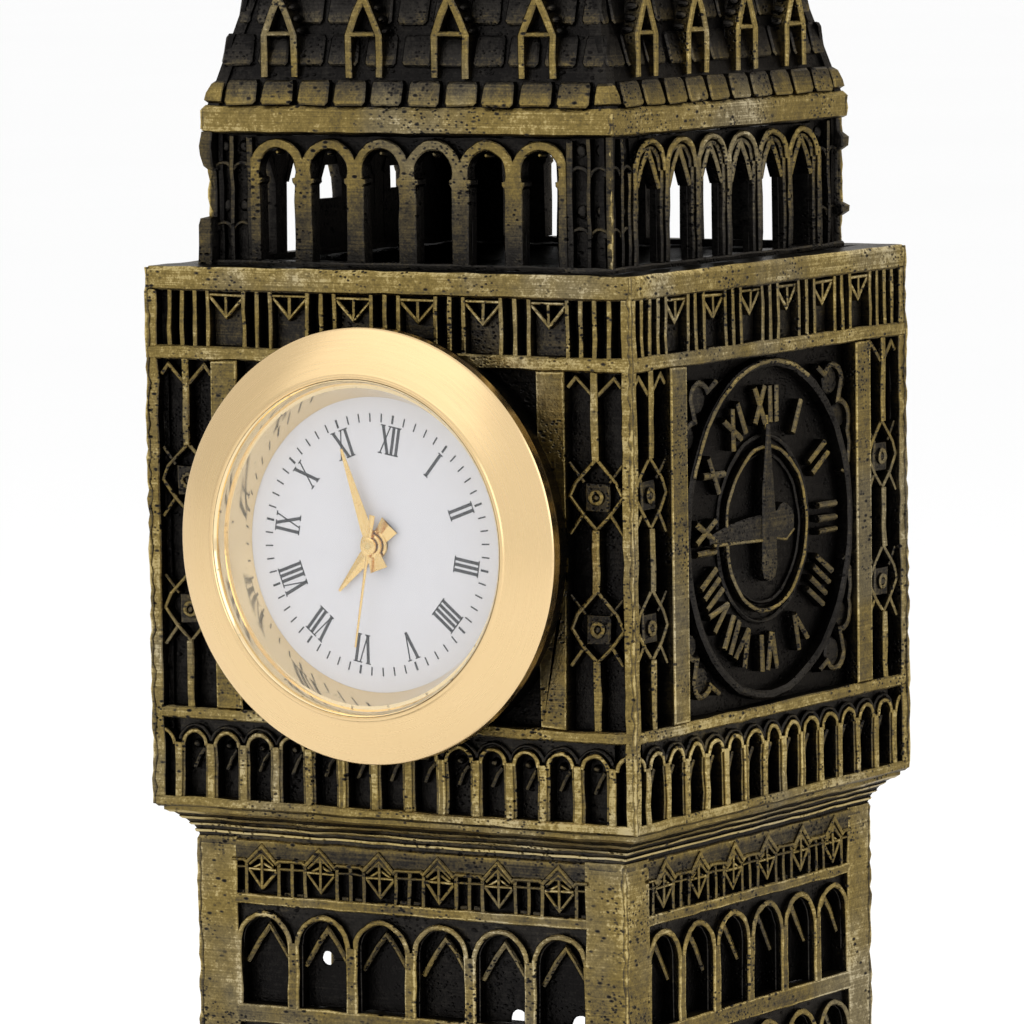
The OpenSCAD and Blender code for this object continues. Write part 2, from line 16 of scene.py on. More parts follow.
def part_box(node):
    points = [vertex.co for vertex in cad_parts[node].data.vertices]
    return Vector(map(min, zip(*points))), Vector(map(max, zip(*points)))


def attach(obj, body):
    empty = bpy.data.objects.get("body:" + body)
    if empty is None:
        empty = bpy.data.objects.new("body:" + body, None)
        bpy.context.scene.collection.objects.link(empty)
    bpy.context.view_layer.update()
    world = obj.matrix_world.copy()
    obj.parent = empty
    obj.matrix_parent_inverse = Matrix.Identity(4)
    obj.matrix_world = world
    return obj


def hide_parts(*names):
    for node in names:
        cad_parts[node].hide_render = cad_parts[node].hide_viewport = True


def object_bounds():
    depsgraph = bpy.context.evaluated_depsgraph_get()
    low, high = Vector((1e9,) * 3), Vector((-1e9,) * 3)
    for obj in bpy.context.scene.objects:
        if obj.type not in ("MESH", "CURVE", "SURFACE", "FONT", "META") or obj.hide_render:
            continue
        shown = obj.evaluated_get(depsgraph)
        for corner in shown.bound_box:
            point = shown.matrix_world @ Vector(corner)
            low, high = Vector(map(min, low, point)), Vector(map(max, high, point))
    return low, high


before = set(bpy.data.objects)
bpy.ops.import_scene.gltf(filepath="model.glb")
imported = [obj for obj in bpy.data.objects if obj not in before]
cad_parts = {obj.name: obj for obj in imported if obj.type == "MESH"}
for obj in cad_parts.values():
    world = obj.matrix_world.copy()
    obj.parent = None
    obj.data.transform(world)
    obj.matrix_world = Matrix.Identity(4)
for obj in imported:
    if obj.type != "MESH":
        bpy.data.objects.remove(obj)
cad_low, cad_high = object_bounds()
noise.seed_set(11)  # noise_vector takes its offsets from the clock otherwise

MM = 0.001
SIDES = ("front", "right", "back", "left")


def top_of(node):
    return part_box(node)[1].z / MM


def foot_of(node):
    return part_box(node)[0].z / MM


def half_of(node):
    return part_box(node)[1].y / MM


STAGE_TOP = top_of("stage_right_panel")
ZERO = STAGE_TOP - 21.9
FACE = half_of("stage_right_panel")
CENTRE_Z = -0.5
CLOCK_Z = ZERO + CENTRE_Z
SHAFT_FOOT = foot_of("shaft_front_panel") - ZERO
ROOF_FOOT = foot_of("roof_front_panel") - ZERO
ROOF_TOP = top_of("roof_front_panel") - ZERO
SHAFT_R = 20.9
BELFRY_R = 19.6
EAVE_R = 19.9
TILT = math.radians(9.5)

# ---------------------------------------------------------------- materials


class Paint:
    """A node material, with short names for the nodes that it uses."""

    def __init__(self, name="", tree=None):
        """Paints a new material of this name, or the world whose node tree is given."""
        if tree is None:
            self.material = bpy.data.materials.new(name)
            self.material.use_nodes = True
            tree = self.material.node_tree
            self.shader = tree.nodes["Principled BSDF"]
        self.tree = tree
        self.place = tree.nodes.new("ShaderNodeTexCoord").outputs["Object" if name else 0]

    def wire(self, source, socket):
        if isinstance(source, bpy.types.NodeSocket):
            self.tree.links.new(source, socket)
        elif isinstance(source, (tuple, list)) and len(source) == 3 and socket.type == "RGBA":
            socket.default_value = (*source, 1)
        else:
            socket.default_value = source

    def set(self, **values):
        for name, value in values.items():
            self.wire(value, self.shader.inputs[name.replace("_", " ")])

    def math(self, kind, a, b=0.0, c=0.0, clamp=False):
        node = self.tree.nodes.new("ShaderNodeMath")
        node.operation = kind
        node.use_clamp = clamp
        for socket, value in zip(node.inputs, (a, b, c)):
            self.wire(value, socket)
        return node.outputs[0]

    def scaled(self, factors, source=None):
        node = self.tree.nodes.new("ShaderNodeVectorMath")
        node.operation = "MULTIPLY"
        self.wire(source or self.place, node.inputs[0])
        node.inputs[1].default_value = factors
        return node.outputs[0]

    def noise(self, scale, detail=4.0, rough=0.55, source=None, warp=0.0):
        node = self.tree.nodes.new("ShaderNodeTexNoise")
        self.wire(source or self.place, node.inputs["Vector"])
        node.inputs["Scale"].default_value = scale
        node.inputs["Detail"].default_value = detail
        node.inputs["Roughness"].default_value = rough
        node.inputs["Distortion"].default_value = warp
        return node.outputs["Fac"]

    def cells(self, scale, source=None):
        node = self.tree.nodes.new("ShaderNodeTexVoronoi")
        self.wire(source or self.place, node.inputs["Vector"])
        node.inputs["Scale"].default_value = scale
        return node.outputs["Distance"]

    def span(self, value, low, high, out_low=0.0, out_high=1.0):
        node = self.tree.nodes.new("ShaderNodeMapRange")
        node.interpolation_type = "SMOOTHSTEP"
        for socket, source in zip(node.inputs, (value, low, high, out_low, out_high)):
            self.wire(source, socket)
        return node.outputs[0]

    def ramp(self, value, stops):
        node = self.tree.nodes.new("ShaderNodeValToRGB")
        self.wire(value, node.inputs[0])
        elements = node.color_ramp.elements
        while len(elements) < len(stops):
            elements.new(0.5)
        for element, (at, colour) in zip(elements, stops):
            element.position = at
            element.color = (*colour, 1)
        return node.outputs[0]

    def mix(self, share, a, b):
        node = self.tree.nodes.new("ShaderNodeMix")
        node.data_type = "RGBA"
        self.wire(share, node.inputs["Factor"])
        # the colour sockets come after the number and vector ones of the same names
        self.wire(a, node.inputs[6])
        self.wire(b, node.inputs[7])
        return node.outputs[2]

    def worn_and_sheen(self):
        node = self.tree.nodes.new("ShaderNodeAttribute")
        node.attribute_name = "wear_and_sheen"
        return node.outputs["Fac"]

    def bump(self, height, distance, strength=1.0):
        node = self.tree.nodes.new("ShaderNodeBump")
        node.inputs["Strength"].default_value = strength
        node.inputs["Distance"].default_value = distance
        self.wire(height, node.inputs["Height"])
        self.wire(node.outputs[0], self.shader.inputs["Normal"])


def cast_brass(name, rub=0.0, bright=1.0, pits=1.0, rim=0.6):
    """Blackened brass plate, rubbed back to bright metal where the mesh attribute is high; the
    ramp's top, reached where that level goes above 1, is a painted highlight.
    """
    p = Paint(name)
    brush = p.noise(1.0, 3.0, 0.65, p.scaled((110, 110, 6800)))
    slow = p.noise(48, 2.0)
    cloud = p.noise(420, 5.0, 0.62, warp=0.3)
    blotch = p.noise(1500, 4.0, 0.65, warp=0.4)
    grain = p.noise(5200, 3.0, 0.6)
    level = p.math("ADD", p.math("MULTIPLY", p.worn_and_sheen(), 0.87), rub)
    for layer, share in ((slow, 0.50), (cloud, 0.45), (blotch, 0.50), (brush, 0.50),
                         (grain, 0.45)):
        level = p.math("ADD", level, p.math("MULTIPLY", p.math("SUBTRACT", layer, 0.5), share))
    pit = p.span(p.cells(1.0, p.scaled((900, 900, 1700))), 0.08, 0.30)
    pit_mask = p.span(p.noise(240, 3.0), 0.46, 0.60)
    pit = p.math("MULTIPLY", p.math("SUBTRACT", 1.0, pit), pit_mask)
    fine = p.span(p.cells(1.0, p.scaled((2100, 2100, 3000))), 0.12, 0.40)
    fine = p.math("MULTIPLY", p.math("SUBTRACT", 1.0, fine),
                  p.span(p.noise(170, 3.0, 0.6), 0.47, 0.60))
    pit = p.math("MAXIMUM", pit, p.math("MULTIPLY", fine, 0.75))
    level = p.math("SUBTRACT", level, p.math("MULTIPLY", pit, 0.8 * pits), clamp=True)
    # In both ramps the stops from 0.93 up are a painted highlight, the glints on edges and crests,
    # not a colour of the metal.
    tone = p.ramp(level, [
        (0.0, (0.0100 * bright, 0.0092 * bright, 0.0088 * bright)),
        (0.34, (0.026 * bright, 0.0235 * bright, 0.0205 * bright)),
        (0.56, (0.076 * bright, 0.060 * bright, 0.033 * bright)),
        (0.82, (0.195 * bright, 0.141 * bright, 0.045 * bright)),
        (0.93, (0.27 * bright, 0.198 * bright, 0.068 * bright)),
        (1.0, (0.46 * bright, 0.360 * bright, 0.155 * bright)),
    ])
    pewter = p.ramp(level, [
        (0.0, (0.0105 * bright, 0.0100 * bright, 0.0098 * bright)),
        (0.34, (0.029 * bright, 0.0265 * bright, 0.0245 * bright)),
        (0.56, (0.082 * bright, 0.073 * bright, 0.056 * bright)),
        (0.82, (0.172 * bright, 0.151 * bright, 0.103 * bright)),
        (0.93, (0.25 * bright, 0.220 * bright, 0.155 * bright)),
        (1.0, (0.54 * bright, 0.490 * bright, 0.37 * bright)),
    ])
    cast = p.math("MULTIPLY", p.span(p.noise(75, 4.0, 0.6), 0.46, 0.68), 0.55)
    p.set(Base_Color=p.mix(cast, tone, pewter), Metallic=1.0,
          Specular_Tint=(rim, 0.97 * rim, 0.93 * rim))
    p.set(Roughness=p.math("ADD", p.span(level, 0.1, 0.9, 0.30, 0.26),
                           p.math("MULTIPLY", cloud, 0.14)))
    height = p.math("ADD", p.math("MULTIPLY", grain, 0.30), p.math("MULTIPLY", cloud, 0.6))
    height = p.math("ADD", height, p.math("MULTIPLY", blotch, 0.5))
    height = p.math("ADD", height, p.math("MULTIPLY", brush, 0.08))
    height = p.math("SUBTRACT", height, p.math("MULTIPLY", pit, 0.6 * pits))
    p.bump(height, 0.00014, 0.8)
    return p.material


def round_brushed(name, base, deep, rough):
    """Metal turned about the piece's own axis, with fine rings and a slight stain."""
    p = Paint(name)
    split = p.tree.nodes.new("ShaderNodeSeparateXYZ")
    p.wire(p.place, split.inputs[0])
    x, y = split.outputs[0], split.outputs[1]
    radius = p.math("SQRT", p.math("ADD", p.math("MULTIPLY", x, x), p.math("MULTIPLY", y, y)))
    turn = p.math("ARCTAN2", y, x)
    ring = p.tree.nodes.new("ShaderNodeCombineXYZ")
    p.wire(p.math("MULTIPLY", radius, 5200.0), ring.inputs[0])
    p.wire(p.math("MULTIPLY", turn, 3.0), ring.inputs[1])
    p.wire(p.math("MULTIPLY", split.outputs[2], 3000.0), ring.inputs[2])
    lines = p.noise(1.0, 3.0, 0.7, ring.outputs[0])
    stain = p.noise(260, 3.0)
    p.set(Base_Color=p.mix(p.math("ADD", p.math("MULTIPLY", stain, 0.55),
                                  p.math("MULTIPLY", lines, 0.25), clamp=True), base, deep))
    p.set(Metallic=1.0, Roughness=p.span(lines, 0.2, 0.8, rough - 0.05, rough + 0.07))
    p.bump(p.math("ADD", lines, p.math("MULTIPLY", stain, 0.3)), 0.000014, 0.5)
    return p.material


def plain_metal(name, base, deep, rough, scale=900, stretch=(1, 1, 1)):
    p = Paint(name)
    grain = p.noise(scale, 4.0, 0.6, p.scaled(stretch))
    p.set(Base_Color=p.mix(grain, base, deep), Metallic=1.0,
          Roughness=p.span(grain, 0.2, 0.8, rough - 0.05, rough + 0.08))
    p.bump(grain, 0.00003, 0.5)
    return p.material


def soft_plastic(name, base, deep, rough, scale=1500, depth=0.00002, metal=0.0):
    p = Paint(name)
    grain = p.noise(scale, 3.0, 0.5)
    p.set(Base_Color=p.mix(grain, base, deep), Metallic=metal,
          Roughness=p.span(grain, 0.2, 0.8, rough - 0.04, rough + 0.06))
    p.bump(grain, depth, 0.6)
    return p.material


def speckled_gold():
    """The mirror-bright gold wall between the dial and the lip, with dark specks by the lip."""
    p = Paint("polished_gold")
    grime = p.noise(900, 4.0, 0.7)
    speck = p.math("MULTIPLY", p.math("SUBTRACT", 1.0, p.span(p.cells(1500), 0.10, 0.34)),
                   p.span(grime, 0.54, 0.62))
    speck = p.math("MULTIPLY", speck, p.worn_and_sheen(), clamp=True)
    p.set(Base_Color=p.mix(speck, (0.86, 0.68, 0.40), (0.05, 0.035, 0.02)), Metallic=1.0,
          Roughness=p.span(grime, 0.3, 0.8, 0.06, 0.13))
    p.bump(p.noise(260, 2.0), 0.00002, 0.3)
    return p.material


def glass_paint():
    p = Paint("crystal_glass")
    smear = p.noise(300, 3.0)
    p.set(Base_Color=(0.90, 0.92, 0.94), Alpha=0.045, IOR=1.5,
          Roughness=p.span(smear, 0.3, 0.8, 0.02, 0.06))
    return p.material


BRASS = cast_brass("antique_brass_cast")
DARK = cast_brass("blackened_roof_cast", rub=-0.05, bright=1.0)
# Painted shade: the belfry floor's metal is made darker, with its edge reflection dulled, for the
# shade inside the belfry.
SHADE = cast_brass("floor_cast_painted_shade", rub=-0.2, bright=0.6, rim=0.12)
SEAM = cast_brass("seam_flash_cast", rub=0.04, bright=1.12, pits=0.6)
GOLD = round_brushed("brushed_gold", (0.79, 0.583, 0.318), (0.745, 0.535, 0.275), 0.24)
POLISHED = speckled_gold()
HAND_GOLD = plain_metal("hand_gold", (0.86, 0.62, 0.27), (0.70, 0.47, 0.18), 0.24, 1200)
WHEEL = plain_metal("machined_brass", (0.76, 0.58, 0.27), (0.62, 0.45, 0.19), 0.27, 2400)
STEEL = plain_metal("brushed_steel", (0.62, 0.63, 0.65), (0.45, 0.46, 0.48), 0.30, 900, (1, 8, 1))
DIAL_WHITE = soft_plastic("satin_dial", (0.66, 0.655, 0.68), (0.63, 0.625, 0.65), 0.42, 700,
                          0.000006)
INK = soft_plastic("dial_ink", (0.012, 0.014, 0.018), (0.022, 0.024, 0.028), 0.5, 3000, 0.000004)
BLACK = soft_plastic("moulded_black", (0.022, 0.022, 0.025), (0.035, 0.035, 0.038), 0.45)
WHITE = soft_plastic("moulded_white", (0.78, 0.78, 0.75), (0.70, 0.70, 0.67), 0.5)
RUBBER = soft_plastic("soft_rubber", (0.016, 0.016, 0.017), (0.028, 0.027, 0.027), 0.7, 2600)
FELT = soft_plastic("green_felt", (0.018, 0.036, 0.020), (0.040, 0.070, 0.040), 0.95, 5200, 0.00015)
COPPER = plain_metal("enamelled_wire", (0.58, 0.23, 0.09), (0.38, 0.13, 0.05), 0.3, 600,
                     (1, 30, 30))
BOARD = soft_plastic("circuit_board", (0.035, 0.16, 0.075), (0.06, 0.24, 0.11), 0.4, 1800)
GLASS = glass_paint()

# ---------------------------------------------------------------- plane figures


def arc(u, z, radius, start, end, steps):
    """Points on an arc about (u, z), between two angles in degrees."""
    return [(u + radius * math.cos(math.radians(start + (end - start) * i / steps)),
             z + radius * math.sin(math.radians(start + (end - start) * i / steps)))
            for i in range(steps + 1)]


def both(c, *half):
    """A line that is its own mirror image about u = c, from the points of its left half, each
    given as (distance from c, z). A last point at 0 is its middle."""
    return [(c - u, z) for u, z in half] + [(c + u, z) for u, z in half[::-1] if u]


def arch(c, radius, sill, spring, steps):
    """The outline of a round-headed opening, from one end of its sill to the other."""
    return [(c - radius, sill)] + arc(c, spring, radius, 180, 0, steps) + [(c + radius, sill)]


def edges(path, width, closed):
    """The two edges of a stroke of a given width along a path, mitred at its corners."""
    points = [Vector(p) for p in path]
    count = len(points)
    left, right = [], []
    for i, point in enumerate(points):
        before = points[i - 1] if closed or i > 0 else None
        after = points[(i + 1) % count] if closed or i < count - 1 else None
        into = (point - before).normalized() if before is not None else None
        out = (after - point).normalized() if after is not None else None
        along = (into or out) + (out or into)
        along.normalize()
        reach = 1 / max(0.4, along.dot(out or into))
        side = Vector((-along.y, along.x)) * reach * width / 2
        left.append(point + side)
        right.append(point - side)
    return left, right


def ccw(poly):
    area = sum(poly[i - 1][0] * poly[i][1] - poly[i][0] * poly[i - 1][1] for i in range(len(poly)))
    return [Vector(p) for p in (poly if area > 0 else poly[::-1])]


def inset(poly, by):
    out = []
    for i, point in enumerate(poly):
        into = (point - poly[i - 1]).normalized()
        away = (poly[(i + 1) % len(poly)] - point).normalized()
        along = into + away
        if along.length < 1e-4:
            along = into
        along.normalize()
        reach = 1 / max(0.5, along.dot(away))
        out.append(point + Vector((-along.y, along.x)) * reach * by)
    return out


def outside(poly, u, z, radius):
    """What is left of a polygon outside a circle that bites into it once."""
    centre = Vector((u, z))
    fine = []
    for i, point in enumerate(poly):
        after = Vector(poly[(i + 1) % len(poly)])
        point = Vector(point)
        steps = max(1, int((after - point).length / 0.12))
        fine += [point.lerp(after, k / steps) for k in range(steps)]
    kept = [(p - centre).length >= radius for p in fine]
    if all(kept):
        return poly
    if not any(kept):
        return []
    start = next(i for i in range(len(fine)) if kept[i] and not kept[i - 1])
    order = fine[start:] + fine[:start]
    run = [p for p in order if (p - centre).length >= radius]
    a = math.atan2(run[-1].y - z, run[-1].x - u)
    b = math.atan2(run[0].y - z, run[0].x - u)
    if b - a > math.pi:
        b -= 2 * math.pi
    if a - b > math.pi:
        b += 2 * math.pi
    steps = max(2, int(abs(b - a) * radius / 0.5))
    bite = [(u + radius * math.cos(a + (b - a) * i / steps),
             z + radius * math.sin(a + (b - a) * i / steps)) for i in range(1, steps)]
    slim = [run[0]]
    for i in range(1, len(run) - 1):
        if (run[i] - slim[-1]).normalized().cross(run[i + 1] - run[i]) ** 2 > 1e-10:
            slim.append(run[i])
    return [tuple(p) for p in slim + [run[-1]]] + bite


# ---------------------------------------------------------------- castings


STEP = 1.5  # length of one span of a bar or a post, short enough to bend with the casting
BAND_STEPS = 24


class Casting:
    """The faces of one piece. Its wear level is 1 on rubbed edges and 0 in blackened hollows; above
    1, on bevelled top edges and crests, it is a painted highlight.
    """

    def __init__(self, lean=None):
        self.points, self.faces, self.wear_and_sheen = [], [], []
        self.lean = lean or (lambda z: 0.0)

    def loft(self, rings, wear_and_sheen_levels, closed=False, caps=True, tube=True):
        start, size, count = len(self.points), len(rings[0]), len(rings)
        for ring, wear_and_sheen in zip(rings, wear_and_sheen_levels):
            for k, (u, w, z) in enumerate(ring):
                self.points.append((u, w + self.lean(z), z))
                self.wear_and_sheen.append(wear_and_sheen[k] if isinstance(wear_and_sheen, (list, tuple)) else wear_and_sheen)
        for i in range(count if closed else count - 1):
            a, b = start + i * size, start + (i + 1) % count * size
            for k in range(size if tube else size - 1):
                after = (k + 1) % size
                self.faces.append((a + k, a + after, b + after, b + k))
        if caps and not closed:
            self.faces.append(tuple(range(start, start + size)))
            self.faces.append(tuple(range(start + (count - 1) * size, start + count * size)))

    def add(self, other, place=None):
        """Takes in another casting's faces, its points moved by place."""
        start = len(self.points)
        self.points += [place(p) for p in other.points] if place else other.points
        self.faces += [tuple(i + start for i in face) for face in other.faces]
        self.wear_and_sheen += other.wear_and_sheen

    def prism(self, poly, low, top, bevel=0.1, wear_and_sheen=1.0, floor=0.0):
        """A raised figure with bevelled edges."""
        if len(poly) < 3:
            return
        poly = ccw(poly)
        rings = [[(p[0], low, p[1]) for p in poly], [(p[0], top - bevel, p[1]) for p in poly],
                 [(p[0], top, p[1]) for p in inset(poly, bevel)]]
        shades = [floor, 0.8 * wear_and_sheen, wear_and_sheen]
        # Figures worn above 0.9 get a painted highlight: a ring along the bevelled edge at 1.16
        # times the level, darker inside it.
        if wear_and_sheen > 0.9:
            rings.append([(p[0], top, p[1]) for p in inset(poly, bevel + 0.18)])
            shades = [floor, 0.8 * wear_and_sheen, 1.16 * wear_and_sheen, 0.84 * wear_and_sheen]
        self.loft(rings, shades)

    def rect(self, u0, u1, z0, z1, low, top, bevel=0.1, wear_and_sheen=1.0, floor=0.0, fade=None):
        wide, tall = u1 - u0, z1 - z0
        if min(wide, tall) < 2.2 * bevel:
            return
        steps = max(1, round(max(wide, tall) / STEP))
        if tall > wide:
            path = [((u0 + u1) / 2, z0 + tall * i / steps) for i in range(steps + 1)]
        else:
            path = [(u0 + wide * i / steps, (z0 + z1) / 2) for i in range(steps + 1)]
        self.bar(path, min(wide, tall), low, top, bevel, wear_and_sheen=wear_and_sheen, floor=floor, fade=fade)

    def block(self, u, half, *values, **named):
        """A rectangle that reaches half to each side of u."""
        self.rect(u - half, u + half, *values, **named)

    def bar(self, path, width, low, top, bevel=0.1, closed=False, wear_and_sheen=1.0, floor=0.0, fade=None):
        """A raised line with bevelled edges. fade(z) makes it blacker at some heights."""
        left, right = edges(path, width, closed)
        left_top, right_top = edges(path, width - 2 * bevel, closed)
        wide = width - 2 * bevel > 0.5
        left_in, right_in = edges(path, width - 2 * bevel - 0.3, closed) if wide else ([], [])
        rings, shades = [], []
        for i, point in enumerate(path):
            a, b, c, d = left[i], left_top[i], right_top[i], right[i]
            w = wear_and_sheen * (fade(point[1]) if fade else 1)
            middle = [(q[i].x, top, q[i].y) for q in (left_in, right_in)] if wide else []
            rings.append([(a.x, low, a.y), (a.x, top - bevel, a.y), (b.x, top, b.y)] + middle
                         + [(c.x, top, c.y), (d.x, top - bevel, d.y), (d.x, low, d.y)])
            # The bevelled top edges get 1.16 times the level on wide bars and 1.03 on narrow ones,
            # a painted highlight along them.
            crest_and_glint = (1.16 if wide else 1.03) * w
            shades.append([floor, 0.8 * w, crest_and_glint] + [0.84 * w] * len(middle)
                          + [crest_and_glint, 0.8 * w, floor])
        self.loft(rings, shades, closed)

    def band(self, section, wear_and_sheen_levels, inner=None):
        """A moulding right across the side, mitred at both ends, or in two parts that
        stop at a distance inner(z) from the middle."""
        ends = [lambda w, z: -w, lambda w, z: w]
        parts = [ends] if inner is None else [
            [ends[0], lambda w, z: -inner(z)], [lambda w, z: inner(z), ends[1]]]
        for near, far in parts:
            rings = [[(near(w, z) + (far(w, z) - near(w, z)) * i / BAND_STEPS, w, z)
                      for w, z in section] for i in range(BAND_STEPS + 1)]
            self.loft(rings, [wear_and_sheen_levels] * len(rings), caps=inner is not None)

    def post(self, section, low, high, wear_and_sheen_levels):
        """An upright of one section, given as (u, w), and its mirror image."""
        steps = max(1, round((high - low) / STEP))
        levels = [low + (high - low) * i / steps for i in range(steps + 1)]
        for sign in (-1, 1):
            self.loft([[(sign * u, w, z) for u, w in section] for z in levels],
                      [wear_and_sheen_levels] * len(levels))

    def cell(self, u0, u1, z0, z1, hole, centre, front, back, wear_and_sheen=0.2, edge=0.1):
        """A piece of wall with one opening. The opening's outline starts and ends on z0."""
        cu, cz = centre
        inner = [Vector(p) for p in hole]
        outer = []
        for p in inner:
            if p.y <= cz:
                outer.append(Vector((u0 if p.x < cu else u1, p.y)))
                continue
            d = p - Vector((cu, cz))
            reach = min((u1 - cu if d.x > 0 else cu - u0) / max(1e-9, abs(d.x)),
                        (z1 - cz) / max(1e-9, d.y))
            outer.append(Vector((cu, cz)) + d * reach)
        for corner in (Vector((u0, z1)), Vector((u1, z1))):
            want = corner - Vector((cu, cz))
            best = max((i for i in range(len(inner)) if inner[i].y > cz),
                       key=lambda i: (inner[i] - Vector((cu, cz))).normalized().dot(want))
            outer[best] = corner
        left, right = edges([tuple(p) for p in inner], 2 * edge, False)
        grown = left if (left[0].x < inner[0].x) else right
        rings = []
        for i, (p, q) in enumerate(zip(inner, outer)):
            g = Vector((max(u0, min(u1, grown[i].x)), max(z0, min(z1, grown[i].y))))
            rings.append([(q.x, front, q.y), (g.x, front, g.y), (p.x, front - edge, p.y),
                          (p.x, back, p.y), (q.x, back, q.y)])
        self.loft(rings, [[wear_and_sheen * 0.8, wear_and_sheen, wear_and_sheen, 0.0, 0.0]] * len(rings), tube=False, caps=False)

    def bead(self, u, z, low, radius, height, wear_and_sheen=1.0, steps=10):
        """A low dome."""
        rings, shades = [], []
        for tilt in (0, 25, 50, 72):
            r = radius * math.cos(math.radians(tilt))
            w = low + height * math.sin(math.radians(tilt))
            rings.append([(u + r * math.cos(2 * math.pi * k / steps), w,
                           z + r * math.sin(2 * math.pi * k / steps)) for k in range(steps)])
            shades.append(wear_and_sheen * (0.25 + 0.75 * tilt / 72))
        self.loft(rings, shades)

    def disc_ring(self, u, z, inner, outer, low, top, bevel=0.1, wear_and_sheen=1.0, steps=48, span=None):
        start, end = span or (0, 360)
        middle = (inner + outer) / 2
        path = arc(u, z, middle, start, end, steps)
        if span is None:
            path = path[:-1]
        self.bar(path, outer - inner, low, top, bevel, span is None, wear_and_sheen)


def uneven(point, size):
    """A metre point moved a little, as the face of a rough casting is."""
    p = Vector(point)
    slow = noise.noise_vector(p / MM * 0.45)
    quick = noise.noise_vector(p / MM * 1.7 + Vector((7, 3, 5)))
    return p + (slow * 0.7 + quick * 0.45) * size * MM


def make_mesh(name, casting, place, smooth=28, rough=0.0):
    """A mesh object from a casting, whose points go through place."""
    mesh = bpy.data.meshes.new(name)
    points = [place(p) for p in casting.points]
    if rough:
        points = [uneven(p, rough) for p in points]
        points = [[max(a, min(b, v)) for a, b, v in zip(cad_low, cad_high, p)] for p in points]
    mesh.from_pydata(points, [], casting.faces)
    layer = mesh.attributes.new("wear_and_sheen", "FLOAT", "POINT")
    layer.data.foreach_set("value", casting.wear_and_sheen)
    tidy = bmesh.new()
    tidy.from_mesh(mesh)
    bmesh.ops.recalc_face_normals(tidy, faces=tidy.faces)
    tidy.to_mesh(mesh)
    tidy.free()
    mesh.shade_smooth()
    mesh.set_sharp_from_angle(angle=math.radians(smooth))
    obj = bpy.data.objects.new(name, mesh)
    bpy.context.scene.collection.objects.link(obj)
    return obj


def side_place(turn):
    """Takes (u, w, z) on the side that is turn quarter-turns round from the front to metres."""
    c, s = round(math.cos(turn * math.pi / 2)), round(math.sin(turn * math.pi / 2))

    def place(p):
        u, w, z = p
        return ((u * c + w * s) * MM, (u * s - w * c) * MM, (z + ZERO) * MM)
    return place


def finish_piece(obj, material, body, slot, *nodes):
    obj.data.materials.append(material)
    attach(obj, body)
    if nodes:
        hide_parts(*nodes)
    return obj


# ---------------------------------------------------------------- clock stage

FLOOR = FACE - 1.4
ROOT = FLOOR - 0.1  # where a figure on the floor starts, a little inside the wall
BACK = FACE - 3
BORE_R = 16.6
COLLAR_R = 17.3


def bore_half(z, radius=COLLAR_R - 0.2):
    """Half the width of the clock's hole at a height, or 0 above and below it."""
    d = z - CENTRE_Z
    return math.sqrt(max(0.0, radius * radius - d * d))


def tracery(c, side):
    """The pierced-looking strip between a pilaster and a corner post."""
    low, top = ROOT, FACE - 0.35
    side.bar(both(c, (2.5, 12.9), (1.8, 13.7), (0, 11.9)), 0.34, low, top, 0.1, wear_and_sheen=0.85)
    for foot, head in ((11.9, 14.1), (7.0, 11.9), (-3.85, 1.3), (-15.1, -9.45)):
        side.block(c, 0.36, foot, head, low, FACE - 0.2, 0.12, 0.95)
    for drop in (0, -10.8):
        ring = [(c, 7.1), (c + 1.9, 5.2), (c + 2.5, 4.0), (c + 1.35, 2.55), (c, 1.3),
                (c - 1.35, 2.55), (c - 2.5, 4.0), (c - 1.9, 5.2)]
        side.bar([(u, z + drop) for u, z in ring], 0.32, low, top, 0.1, closed=True, wear_and_sheen=0.9)
        for sign in (-1, 1):
            side.bar([(c + sign * 1.2, 2.7 + drop), (c + sign * 2.55, 0.9 + drop)], 0.3,
                     low, top - 0.1, 0.09, wear_and_sheen=0.85)
            side.bar([(c + sign * 1.2, 5.2 + drop), (c + sign * 2.55, 6.7 + drop)], 0.28,
                     low, top - 0.15, 0.08, wear_and_sheen=0.7)
        side.block(c, 1.15, 2.8 + drop, 5.1 + drop, low, FACE - 0.62, 0.12, 0.55)
        side.disc_ring(c, 3.95 + drop, 0.35, 0.7, FACE - 0.7, FACE - 0.35, 0.08, 0.85, 14)
        side.bead(c, 3.95 + drop, FACE - 0.66, 0.36, 0.35, 0.6)


